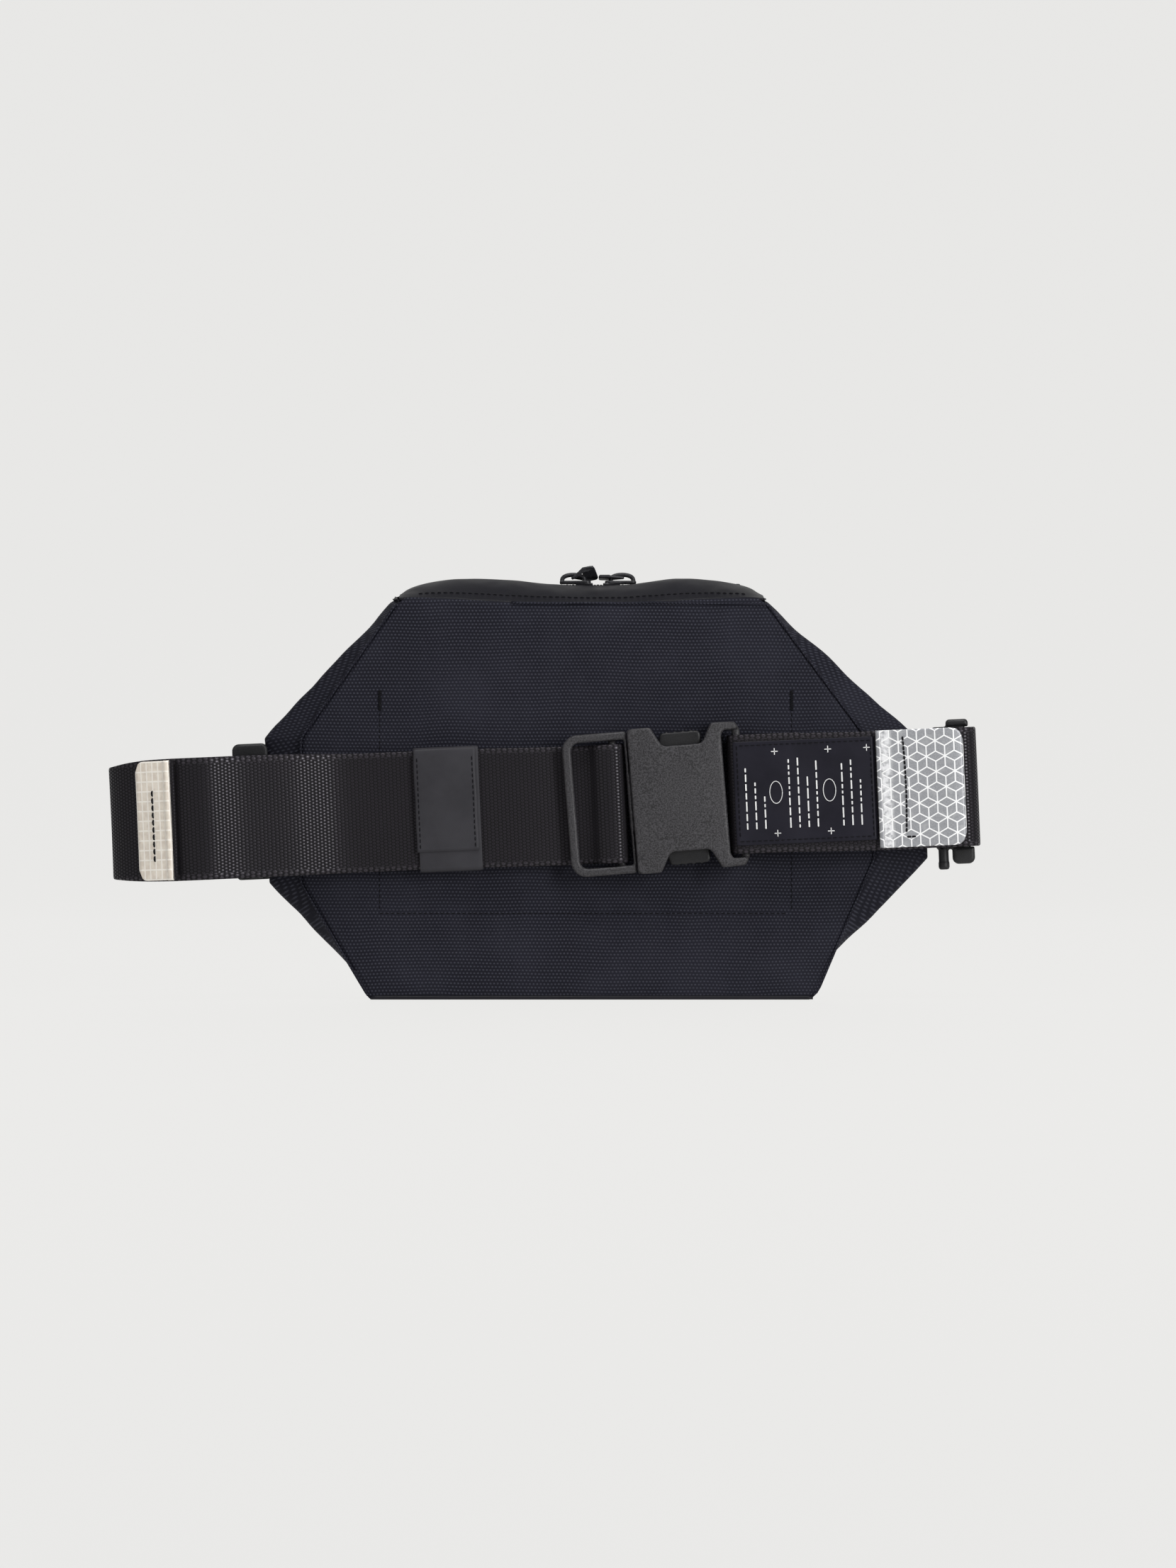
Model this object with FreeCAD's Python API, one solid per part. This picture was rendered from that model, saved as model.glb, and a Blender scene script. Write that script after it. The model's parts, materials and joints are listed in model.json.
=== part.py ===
import FreeCAD, Part
import math
import os

# Hip bag with a closed webbing belt, in millimetres.
# X runs along the belt, +Z is up, the back panel (wearer's side) faces -Y.
# The origin lies on the base plane, midway between the back and front panels.

V = FreeCAD.Vector

# ---- driving dimensions: bag body ----
WALL = 1.6                 # coated fabric and its lining
BODY_HEIGHT = 167.0        # base to the seam under the top bands
BACK_Y = -31.0             # outer face of the back panel
FRONT_Y = 31.0             # outer face of the front panel
WING_BACK_Y = -26.0        # the wings end in a flat edge between these two
WING_FRONT_Y = -20.0
WING_X = (-131.0, 143.5)   # wing tips, left and right
WING_Z = ((50.0, 107.5), (59.0, 105.0))   # heights of each wing's flat edge
BACK_SEAM_X = (-119.0, 120.5)             # the back panel's own side corners
FRONT_SEAM_X = (-96.0, 98.0)              # the front panel's side corners
TOP_X = {"back": (-78.0, 74.5), "wing": (-81.0, 76.5), "front": (-69.0, 67.0)}
BASE_X = {"back": (-90.0, 95.5), "wing": (-83.5, 84.0), "front": (-82.0, 82.0)}

# ---- driving dimensions: zip and top bands ----
CREST_Z = 174.5            # top of the two bands beside the zip
SLOT_HALF_X = 66.0         # half length of the gap between the bands
SLOT_HALF_Y = 8.0          # half width of the gap between the bands
SLOT_FRONT_HALF_X = 62.0
RIM = 3.0                  # seam allowance left inside the mouth
TAPE_Z = (172.7, 173.5)
TAPE_INNER_Y = 2.6         # the tape ends here, where the teeth begin
TEETH_Z = (171.8, 174.4)
TOOTH_PITCH = 2.6          # along one row; the other row sits half a pitch on
TOOTH_WIDTH = 1.1
TOOTH_REACH = 0.9          # how far a tooth passes the middle of the chain
TEETH_END_X = 63.0
STOP_LENGTH = 2.4
SLIDER_X = (-4.0, 14.4)    # centres of the two sliders, nose to nose
SLIDER_LENGTH = 14.0
SLIDER_NOSE_HALF = 6.0
SLIDER_TAIL_HALF = 4.4
SLIDER_TOP_Z = (174.7, 176.0)
SLIDER_BOTTOM_Z = (170.4, 171.6)
POST_WIDTH = 1.6
POST_LENGTH = 3.0
BRIDGE_THICKNESS = 2.4
BRIDGE_LENGTH = 9.4
BRIDGE_TOP_Z = 179.1
PULL_PIN_X = (-5.2, 15.4)
PULL_PIN_Z = 177.35
PULL_PIN_R = 1.0
PIN_CLEARANCE = 0.06
PULL_LENGTH = 10.1
PULL_THICKNESS = 1.4
PULL_PLATE_START = 5.4
PULL_PLATE_HALF = 4.0
PULL_ANGLE = (22.0, 180.0)  # how each pull lies at rest, above +X

# ---- driving dimensions: belt ----
WEB = 1.3                  # webbing thickness
WEB_HALF = 24.75           # half of its 49.5 mm width
BELT_TILT = 2.5            # the belt rises to the right, degrees
BELT_Z = 82.0              # height of its middle at X = 0
LAYER_STEP = 1.7           # between two layers that lie on each other
BUCKLE_TILT = 4.7
BUCKLE_X = 28.0            # the buckle tilts about this point
BUCKLE_Y = -39.0           # middle of the buckle's thickness
STRAP_RIGHT_Y = BUCKLE_Y - 3.7
TAB = 0.5                  # thickness of a reflective tab
LABEL = 0.5
LABEL_X = (62.0, 120.8)
LABEL_HALF = 21.5
TAIL_END_RIGHT_X = 121.3
TAB_RIGHT_LENGTH = 36.0
TAB_LEFT_LENGTH = 18.5
TAIL_LEFT_START = 8.0      # the left tail ends this far past the loop's ridge

# ---- driving dimensions: webbing locks at the wing tips ----
LOCK_X = (-140.0, 153.0)   # middle bar of each lock
LOCK_Y = -23.0
LOCK_BAR = 2.2
LOCK_PITCH = 6.0
LOCK_HALF_THICK = 1.5
LOCK_BODY_HALF = 27.0
LOCK_LUG_X = ((-7.1, 7.1), (-2.3, 7.1))    # lugs above and below each body
LOCK_LUG_Z = ((-26.5, 31.0), (-31.8, 28.4))
LOCK_RAIL_INNER = 25.1
LOCK_GAP = 0.25            # webbing to bar
PEG_R = 2.3
PEG_X = -5.4               # from the right lock's middle bar
PEG_Z = (-33.7, -25.0)

# ---- driving dimensions: keeper loop ----
KEEPER_X = (-70.6, -43.9)
KEEPER_WALL = 1.0
KEEPER_GAP = 0.5
KEEPER_LAP = 0.8
KEEPER_LAP_SHIFT = -2.0

# ---- driving dimensions: side-release buckle, in its own frame ----
FEMALE_X = (19.4, 57.6)
FEMALE_HALF_HEIGHT = 30.3
FEMALE_HALF_THICK = 6.5
CAVITY_END_X = 56.0
CAVITY_HALF_HEIGHT = 25.4
CAVITY_HALF_THICK = 3.4
NOTCH_X = (29.5, 54.5)
NOTCH_DEPTH = 8.3
NOTCH_SLOPE = 4.0
LUG_END_X = 66.8
LUG_INNER = 26.7
LUG_HALF_THICK = 5.0
WEB_BAR_X = 64.6
WEB_BAR_R = 1.8
MALE_X = (-8.0, 19.2)
MALE_HALF_HEIGHT = 29.6
MALE_HALF_THICK = 3.5
MALE_WINDOW_HALF = 26.4
OUTER_BAR_END_X = -4.3
OUTER_BAR_BACK_Y = -0.2
INNER_BAR_X = (11.5, 14.3)
INNER_BAR_Y = (-0.4, 2.2)
SHOULDER_X = 18.1
MALE_CORNER_R = 6.5
TONGUE_ROOT_X = 24.5
TONGUE_ROOT_HALF = 12.3
TONGUE_END_X = 50.0
TONGUE_HALF = 7.0
PRONG_HALF_THICK = 2.8
PRONG_PIVOT = (21.5, 15.0)
PRONG_EYE_R = 2.0


# ---- general helpers ----
def box(x_range, y_range, z_range):
    size = [high - low for low, high in (x_range, y_range, z_range)]
    return Part.makeBox(*size, V(x_range[0], y_range[0], z_range[0]))


def face_of(points):
    return Part.Face(Part.makePolygon(points + [points[0]]))


def plate_xz(points, y_range):
    """Extrude an outline drawn in X and Z along Y."""
    outline = [V(x, y_range[0], z) for x, z in points]
    return face_of(outline).extrude(V(0, y_range[1] - y_range[0], 0))


def plate_xy(points, z_range):
    """Extrude an outline drawn in X and Y along Z."""
    outline = [V(x, y, z_range[0]) for x, y in points]
    return face_of(outline).extrude(V(0, 0, z_range[1] - z_range[0]))


def fuse(shapes):
    return shapes[0].multiFuse(shapes[1:]).removeSplitter()


def unit(start, end):
    return (end - start).normalize()


def left_of(direction):
    return V(-direction.y, direction.x, 0)


def skin(rings):
    """Close a row of outlines with equally many corners into a solid with flat faces."""
    faces = [face_of(rings[0]), face_of(rings[-1])]
    for near, far in zip(rings, rings[1:]):
        for index in range(len(near)):
            after = (index + 1) % len(near)
            corners = [near[index], near[after], far[after], far[index]]
            normal = (corners[1] - corners[0]).cross(corners[2] - corners[0]).normalize()
            if abs(normal.dot(corners[3] - corners[0])) < 1e-6:
                faces.append(face_of(corners))
            else:
                faces.append(face_of(corners[:3]))
                faces.append(face_of([corners[0], corners[2], corners[3]]))
    solid = Part.Solid(Part.makeShell(faces)).removeSplitter()
    return solid if solid.Volume > 0 else solid.reversed()


def inset(points, distance):
    """Move every side of a closed outline inwards, keeping its corners."""
    result = []
    count = len(points)
    for index, (x, z) in enumerate(points):
        before = points[index - 1]
        after = points[(index + 1) % count]
        into = unit(V(before[0], before[1], 0), V(x, z, 0))
        out = unit(V(x, z, 0), V(after[0], after[1], 0))
        normal_in = left_of(into)
        normal_out = left_of(out)
        mitre = (normal_in + normal_out) / (1 + normal_in.dot(normal_out))
        result.append((x + mitre.x * distance, z + mitre.y * distance))
    return result


# ---- webbing: paths in plan with rounded corners, extruded across the width ----
def offset_path(path, distance):
    """Move a path of (x, y, radius) to its left, keeping its rounded corners parallel."""
    points = [V(x, y, 0) for x, y, _ in path]
    result = []
    for index, point in enumerate(points):
        into = unit(points[index - 1], point) if index else None
        out = unit(point, points[index + 1]) if index + 1 < len(points) else None
        first = left_of(into or out)
        second = left_of(out or into)
        mitre = (first + second) / (1 + first.dot(second))
        moved = point + mitre * distance
        turn = 0.0
        if into and out:
            turn = math.copysign(1.0, into.cross(out).z)
        result.append((moved.x, moved.y, path[index][2] - turn * distance))
    return result


def side_edges(path, distance):
    """Lines and arcs that run beside a rounded path at a distance to its left."""
    moved = offset_path(path, distance)
    points = [V(x, y, 0) for x, y, _ in moved]
    edges = []
    last = points[0]
    for index in range(1, len(points) - 1):
        into = unit(points[index - 1], points[index])
        out = unit(points[index], points[index + 1])
        turn = into.getAngle(out)
        radius = moved[index][2]
        reach = radius * math.tan(turn / 2)
        start = points[index] - into * reach
        end = points[index] + out * reach
        towards = unit(points[index], (start + end) / 2)
        top = points[index] + towards * (radius / math.cos(turn / 2) - radius)
        if (start - last).Length > 1e-6:
            edges.append(Part.LineSegment(last, start).toShape())
        edges.append(Part.Arc(start, top, end).toShape())
        last = end
    edges.append(Part.LineSegment(last, points[-1]).toShape())
    return edges, points[0], points[-1]


def ribbon(path, thickness, z_range):
    left, left_start, left_end = side_edges(path, thickness / 2)
    right, right_start, right_end = side_edges(path, -thickness / 2)
    caps = [Part.LineSegment(left_start, right_start).toShape(),
            Part.LineSegment(left_end, right_end).toShape()]
    wire = Part.Wire(Part.__sortEdges__(left + right + caps))
    solid = Part.Face(wire).extrude(V(0, 0, z_range[1] - z_range[0]))
    solid.translate(V(0, 0, z_range[0]))
    return solid


def on_belt(shape):
    """Put a shape made in the belt's frame, middle at z = 0, where the belt is."""
    placed = shape.copy()
    placed.Placement = FreeCAD.Placement(
        V(0, 0, BELT_Z), FreeCAD.Rotation(V(0, 1, 0), -BELT_TILT)).multiply(placed.Placement)
    return placed


def in_buckle(shape):
    """Put a shape made in the buckle's frame, middle at y = z = 0, into the belt's."""
    placed = shape.copy()
    skew = FreeCAD.Rotation(V(0, 1, 0), BELT_TILT - BUCKLE_TILT)
    pivot = V(BUCKLE_X, 0, 0)
    shift = V(BUCKLE_X, BUCKLE_Y, 0) - skew.multVec(pivot)
    placed.Placement = FreeCAD.Placement(shift, skew).multiply(placed.Placement)
    return on_belt(placed)


# ---- bag body ----
def outline(part, side_x):
    """Eight corners of the bag seen from behind, anticlockwise from the base's left."""
    (left_low, left_high), (right_low, right_high) = WING_Z
    return [(BASE_X[part][0], 0), (BASE_X[part][1], 0),
            (side_x[1], right_low), (side_x[1], right_high),
            (TOP_X[part][1], BODY_HEIGHT), (TOP_X[part][0], BODY_HEIGHT),
            (side_x[0], left_high), (side_x[0], left_low)]


def body_solid(gap):
    sections = [(BACK_Y + gap, outline("back", BACK_SEAM_X)),
                (WING_BACK_Y, outline("wing", WING_X)),
                (WING_FRONT_Y, outline("wing", WING_X)),
                (FRONT_Y - gap, outline("front", FRONT_SEAM_X))]
    return skin([[V(x, y, z) for x, z in inset(points, gap)] for y, points in sections])


def roof_solid(drop):
    """The four-sided ridge that the two top bands make over the mouth."""
    base = [(TOP_X["back"][0], BACK_Y), (TOP_X["back"][1], BACK_Y),
            (TOP_X["front"][1], FRONT_Y), (TOP_X["front"][0], FRONT_Y)]
    crest = [(-SLOT_HALF_X, -SLOT_HALF_Y), (SLOT_HALF_X, -SLOT_HALF_Y),
             (SLOT_FRONT_HALF_X, SLOT_HALF_Y), (-SLOT_FRONT_HALF_X, SLOT_HALF_Y)]
    return skin([[V(x, y, z - drop) for x, y in points]
                 for points, z in ((base, BODY_HEIGHT), (crest, CREST_Z))])


def make_body():
    everywhere = (-300, 300)
    outer = body_solid(0.0)
    mouth = plate_xy([(TOP_X["back"][0] + RIM, BACK_Y + WALL),
                      (TOP_X["back"][1] - RIM, BACK_Y + WALL),
                      (TOP_X["front"][1] - RIM, FRONT_Y - WALL),
                      (TOP_X["front"][0] + RIM, FRONT_Y - WALL)],
                     (BODY_HEIGHT - 4 * WALL, BODY_HEIGHT + 1))
    shell = outer.cut(body_solid(WALL)).cut(mouth)
    floor_zone = box(everywhere, everywhere, (-1, WALL))
    walls = shell.cut(floor_zone)
    back_zone = box(everywhere, (-100, BACK_Y + WALL), everywhere)
    front_zone = box(everywhere, (FRONT_Y - WALL, 100), everywhere)
    sides = walls.cut(back_zone).cut(front_zone)
    parts = {
        "bottom_panel": shell.common(floor_zone),
        "back_panel": walls.common(back_zone),
        "front_panel": walls.common(front_zone),
        "side_panel_left": sides.common(box((-300, 0), everywhere, everywhere)),
        "side_panel_right": sides.common(box((0, 300), everywhere, everywhere)),
    }
    return parts, outer


def make_top_bands():
    roof = roof_solid(0.0).cut(roof_solid(WALL))
    slot = plate_xy([(-SLOT_HALF_X, -SLOT_HALF_Y), (SLOT_HALF_X, -SLOT_HALF_Y),
                     (SLOT_HALF_X, SLOT_HALF_Y), (-SLOT_HALF_X, SLOT_HALF_Y)],
                    (BODY_HEIGHT, CREST_Z + 1))
    roof = roof.cut(slot).common(box((-100, 100), (-100, 100), (BODY_HEIGHT, CREST_Z)))
    return {"top_band_back": roof.common(box((-100, 100), (-100, 0), (0, 300))),
            "top_band_front": roof.common(box((-100, 100), (0, 100), (0, 300)))}


def make_inner_pocket():
    """A flat sewn pocket, open at its top, against the back panel's inner face."""
    back = BACK_Y + WALL
    outer = box((-86.0, 86.0), (back, back + 4.0), (36.0, 129.0))
    inner = box((-85.2, 85.2), (back + 0.8, back + 3.2), (36.8, 130.0))
    return outer.cut(inner)


def make_bar_tacks():
    """Short dense stitches that hold the inner pocket's two top corners."""
    tacks = [box((x - 0.8, x + 0.8), (BACK_Y - 0.4, BACK_Y), (121.0, 129.0))
             for x in (-86.0, 86.0)]
    return Part.makeCompound(tacks)


def make_bottom_piping():
    low, high = BASE_X["back"]
    return box((low + 0.6, high - 0.6), (BACK_Y - 1.2, BACK_Y), (0, 2.4))


# ---- zip ----
def make_tape(side):
    """side is -1 for the back tape and 1 for the front one."""
    y_range = sorted((side * SLOT_HALF_Y, side * TAPE_INNER_Y))
    half = SLOT_FRONT_HALF_X + 2.0
    return box((-half, half), y_range, TAPE_Z)


def make_teeth(side):
    """One row of moulded teeth, parted where the two sliders' posts hold it open."""
    shift = 0.0 if side < 0 else TOOTH_PITCH / 2
    y_range = sorted((side * TAPE_INNER_Y, -side * TOOTH_REACH))
    open_low = SLIDER_X[0] + SLIDER_LENGTH / 2 - POST_LENGTH - TOOTH_WIDTH
    open_high = SLIDER_X[1] - SLIDER_LENGTH / 2 + POST_LENGTH + TOOTH_WIDTH
    teeth = []
    for index in range(-24, 25):
        x = index * TOOTH_PITCH + shift
        if abs(x) < TEETH_END_X - TOOTH_WIDTH and not open_low < x < open_high:
            teeth.append(box((x - TOOTH_WIDTH / 2, x + TOOTH_WIDTH / 2), y_range, TEETH_Z))
    return Part.makeCompound(teeth)


def make_stop(side):
    x_range = sorted((side * TEETH_END_X, side * (TEETH_END_X + STOP_LENGTH)))
    return box(x_range, (-3.0, 3.0), (TAPE_Z[0] - 1.6, TAPE_Z[0]))


def make_slider(index):
    """A slider with its nose towards the other one, and an arched bridge on top."""
    side = 1 if index == 0 else -1
    middle = SLIDER_X[index]
    nose = middle + side * SLIDER_LENGTH / 2
    tail = middle - side * SLIDER_LENGTH / 2
    plan = [(tail, -SLIDER_TAIL_HALF), (middle, -SLIDER_TAIL_HALF), (nose, -SLIDER_NOSE_HALF),
            (nose, SLIDER_NOSE_HALF), (middle, SLIDER_TAIL_HALF), (tail, SLIDER_TAIL_HALF)]
    top = plate_xy(plan, SLIDER_TOP_Z)
    bottom = plate_xy(plan, SLIDER_BOTTOM_Z)
    post = box(sorted((nose, nose - side * POST_LENGTH)), (-POST_WIDTH / 2, POST_WIDTH / 2),
               (SLIDER_BOTTOM_Z[0], SLIDER_TOP_Z[1]))
    pin_x = PULL_PIN_X[index]
    half = BRIDGE_LENGTH / 2
    shoulder = BRIDGE_TOP_Z - 1.2
    arch = plate_xz([(pin_x - half, SLIDER_TOP_Z[1]), (pin_x + half, SLIDER_TOP_Z[1]),
                     (pin_x + half - 0.7, shoulder), (pin_x + half - 2.4, BRIDGE_TOP_Z),
                     (pin_x - half + 2.4, BRIDGE_TOP_Z), (pin_x - half + 0.7, shoulder)],
                    (-BRIDGE_THICKNESS / 2, BRIDGE_THICKNESS / 2))
    hole = Part.makeCylinder(PULL_PIN_R + PIN_CLEARANCE, 10,
                             V(pin_x, -5, PULL_PIN_Z), V(0, 1, 0))
    return fuse([top, bottom, post, arch]).cut(hole)


def make_pull(index):
    """A pin through the bridge, two side arms and a flat grip plate."""
    arm_inner = BRIDGE_THICKNESS / 2 + 0.3
    arm_outer = arm_inner + 1.3
    half = PULL_THICKNESS / 2
    pin = Part.makeCylinder(PULL_PIN_R, 2 * arm_outer, V(0, -arm_outer, 0), V(0, 1, 0))
    arms = []
    for side in (-1, 1):
        y_range = sorted((side * arm_inner, side * arm_outer))
        arms.append(box((0, PULL_PLATE_START + 1.0), y_range, (-half, half)))
        arms.append(Part.makeCylinder(PULL_PIN_R, arm_outer - arm_inner,
                                      V(0, y_range[0], 0), V(0, 1, 0)))
    plate = box((PULL_PLATE_START, PULL_LENGTH), (-PULL_PLATE_HALF, PULL_PLATE_HALF),
                (-half, half))
    corners = [edge for edge in plate.Edges
               if abs(edge.tangentAt(edge.FirstParameter).z) > 0.9
               and edge.CenterOfMass.x > PULL_LENGTH - 0.1]
    plate = plate.makeFillet(1.5, corners)
    pull = fuse([pin] + arms + [plate])
    pull.rotate(V(0, 0, 0), V(0, 1, 0), -PULL_ANGLE[index])
    pull.translate(V(PULL_PIN_X[index], 0, PULL_PIN_Z))
    return pull


# ---- belt ----
LAYER_Y = LOCK_HALF_THICK + LOCK_GAP + WEB / 2     # webbing above and below a lock's bars
HAIRPIN_X = LOCK_BAR / 2 + LOCK_GAP + WEB / 2      # webbing beside a lock's bar
HAIRPIN_R = 1.2
LOCK_NEAR_Y = LOCK_Y - LAYER_Y
LOCK_FAR_Y = LOCK_Y + LAYER_Y

# The left loop, from the front round its outermost point and back to the lock.
LEFT_LOOP = [(-152.0, -60.0, 14.0), (-162.0, -60.3, 12.0), (-197.5, -35.5, 6.0),
             (-186.0, LOCK_NEAR_Y, 7.0), (-152.0, LOCK_NEAR_Y, 0.0)]


def left_strap_paths():
    hairpin = LOCK_X[0] + HAIRPIN_X
    outer = offset_path(LEFT_LOOP, LAYER_STEP)
    corner = V(outer[1][0], outer[1][1], 0)
    along = unit(corner, V(outer[2][0], outer[2][1], 0))
    tail_end = corner + along * TAIL_LEFT_START
    path = [(-24.0, BUCKLE_Y + 4.2, 0.0),
            (16.3, BUCKLE_Y + 4.2, 2.9), (16.3, BUCKLE_Y - 2.2, 2.9),
            (9.5, BUCKLE_Y - 2.2, 4.0), (1.0, BUCKLE_Y + 1.4, 4.0),
            (-98.0, BUCKLE_Y + 1.4, 60.0)]
    path += LEFT_LOOP[:4]
    path += [(hairpin, LOCK_NEAR_Y, HAIRPIN_R), (hairpin, LOCK_FAR_Y, HAIRPIN_R),
             (-156.0, LOCK_FAR_Y, 20.0)]
    path += [outer[3], outer[2], (tail_end.x, tail_end.y, 0.0)]
    return path, tail_end, along


def right_strap_path():
    hairpin = LOCK_X[1] - HAIRPIN_X
    fold = 161.2
    return [(90.0, STRAP_RIGHT_Y + LAYER_STEP, 0.0), (80.0, STRAP_RIGHT_Y + LAYER_STEP, 8.0),
            (71.0, BUCKLE_Y + 3.7, 6.0), (60.2, BUCKLE_Y + 3.7, 3.3),
            (60.2, STRAP_RIGHT_Y, 3.3), (fold, STRAP_RIGHT_Y, 7.5),
            (fold, LOCK_NEAR_Y, 7.5), (hairpin, LOCK_NEAR_Y, HAIRPIN_R),
            (hairpin, LOCK_FAR_Y, HAIRPIN_R), (fold + LAYER_STEP, LOCK_FAR_Y, 3.0),
            (fold + LAYER_STEP, STRAP_RIGHT_Y - LAYER_STEP, 5.5),
            (TAIL_END_RIGHT_X, STRAP_RIGHT_Y - LAYER_STEP, 0.0)]


def make_straps():
    width = (-WEB_HALF, WEB_HALF)
    left_path, tail_end, along = left_strap_paths()
    front = (WEB + TAB) / 2
    start = tail_end + left_of(along) * front
    end = start + along * TAB_LEFT_LENGTH
    tab_left = ribbon([(start.x, start.y, 0.0), (end.x, end.y, 0.0)], TAB, width)
    tab_y = STRAP_RIGHT_Y - LAYER_STEP - front
    tab_right = ribbon([(TAIL_END_RIGHT_X, tab_y, 0.0),
                        (TAIL_END_RIGHT_X + TAB_RIGHT_LENGTH, tab_y, 0.0)], TAB, width)
    label_y = STRAP_RIGHT_Y - WEB / 2
    label = box(LABEL_X, (label_y - LABEL, label_y), (-LABEL_HALF, LABEL_HALF))
    return {"strap_left": on_belt(ribbon(left_path, WEB, width)),
            "strap_right": on_belt(ribbon(right_strap_path(), WEB, width)),
            "reflective_tab_left": on_belt(tab_left),
            "reflective_tab_right": on_belt(tab_right),
            "strap_label": on_belt(label)}


def make_wing_anchor(index, body):
    """A short webbing loop that leaves the wing tip and goes round the lock's first bar."""
    side = -1 if index == 0 else 1
    bar_x = LOCK_X[index] - side * LOCK_PITCH
    turn_x = bar_x + side * HAIRPIN_X
    start_x = WING_X[index] - side * 4.0
    path = [(start_x, LOCK_NEAR_Y, 0.0), (turn_x, LOCK_NEAR_Y, HAIRPIN_R),
            (turn_x, LOCK_FAR_Y, HAIRPIN_R), (start_x, LOCK_FAR_Y, 0.0)]
    return on_belt(ribbon(path, WEB, (-WEB_HALF, WEB_HALF))).cut(body)


def make_lock(index):
    """A three-bar webbing lock; the right one keeps a round peg below its first bar."""
    reach = LOCK_PITCH + LOCK_BAR / 2
    thick = (LOCK_Y - LOCK_HALF_THICK, LOCK_Y + LOCK_HALF_THICK)
    middle = LOCK_X[index]
    lug_x = [middle + x for x in LOCK_LUG_X[index]]
    plates = [(box((middle - reach, middle + reach), thick, (-LOCK_BODY_HALF, LOCK_BODY_HALF)), 1.5),
              (box(lug_x, thick, LOCK_LUG_Z[index]), 2.6)]
    rounded = []
    for plate, radius in plates:
        uprights = [edge for edge in plate.Edges
                    if abs(edge.tangentAt(edge.FirstParameter).y) > 0.9]
        rounded.append(plate.makeFillet(radius, uprights))
    frame = fuse(rounded)
    slot_half = (LOCK_PITCH - LOCK_BAR) / 2
    for step in (-0.5, 0.5):
        centre = middle + step * LOCK_PITCH
        slot = box((centre - slot_half, centre + slot_half), (-100, 100),
                   (-LOCK_RAIL_INNER, LOCK_RAIL_INNER))
        frame = frame.cut(slot)
    if index == 1:
        peg = Part.makeCylinder(PEG_R, PEG_Z[1] - PEG_Z[0], V(middle + PEG_X, LOCK_Y, PEG_Z[0]))
        frame = fuse([frame, peg])
    return on_belt(frame)


def make_keeper():
    """A fabric sleeve round the belt with its end lapped over its front."""
    y = BUCKLE_Y + 1.4
    inner_y = WEB / 2 + KEEPER_GAP
    inner_z = WEB_HALF + KEEPER_GAP
    outer = box(KEEPER_X, (y - inner_y - KEEPER_WALL, y + inner_y + KEEPER_WALL),
                (-inner_z - KEEPER_WALL, inner_z + KEEPER_WALL))
    inner = box((KEEPER_X[0] - 1, KEEPER_X[1] + 1), (y - inner_y, y + inner_y),
                (-inner_z, inner_z))
    front = y - inner_y - KEEPER_WALL
    lap = box((KEEPER_X[0] + KEEPER_LAP_SHIFT, KEEPER_X[1] + KEEPER_LAP_SHIFT),
              (front - KEEPER_LAP, front), (-17.5, inner_z + KEEPER_WALL))
    return on_belt(fuse([outer.cut(inner), lap]))


# ---- side-release buckle ----
def both_sides(points):
    return [points, [(x, -z) for x, z in points]]


def make_female():
    thick = (-FEMALE_HALF_THICK, FEMALE_HALF_THICK)
    body = box(FEMALE_X, thick, (-FEMALE_HALF_HEIGHT, FEMALE_HALF_HEIGHT))
    rounded = [edge for edge in body.Edges
               if abs(edge.tangentAt(edge.FirstParameter).z) < 0.1]
    body = body.makeFillet(1.6, rounded)
    cavity = box((FEMALE_X[0] - 1, CAVITY_END_X), (-CAVITY_HALF_THICK, CAVITY_HALF_THICK),
                 (-CAVITY_HALF_HEIGHT, CAVITY_HALF_HEIGHT))
    body = body.cut(cavity)
    edge = FEMALE_HALF_HEIGHT + 1
    bottom = FEMALE_HALF_HEIGHT - NOTCH_DEPTH
    notch = [(NOTCH_X[0], edge), (NOTCH_X[0] + NOTCH_SLOPE, bottom),
             (NOTCH_X[1] - NOTCH_SLOPE, bottom), (NOTCH_X[1], edge)]
    for points in both_sides(notch):
        body = body.cut(plate_xz(points, (-20, 20)))
    pieces = [body]
    for points in both_sides([(FEMALE_X[1] - 3, LUG_INNER), (LUG_END_X, LUG_INNER),
                              (LUG_END_X, FEMALE_HALF_HEIGHT - 2.2),
                              (LUG_END_X - 3.0, FEMALE_HALF_HEIGHT - 0.4),
                              (FEMALE_X[1] - 3, FEMALE_HALF_HEIGHT - 0.4)]):
        pieces.append(plate_xz(points, (-LUG_HALF_THICK, LUG_HALF_THICK)))
    pieces.append(Part.makeCylinder(WEB_BAR_R, 2 * LUG_INNER + 2,
                                    V(WEB_BAR_X, 0, -LUG_INNER - 1)))
    return in_buckle(fuse(pieces))


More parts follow.
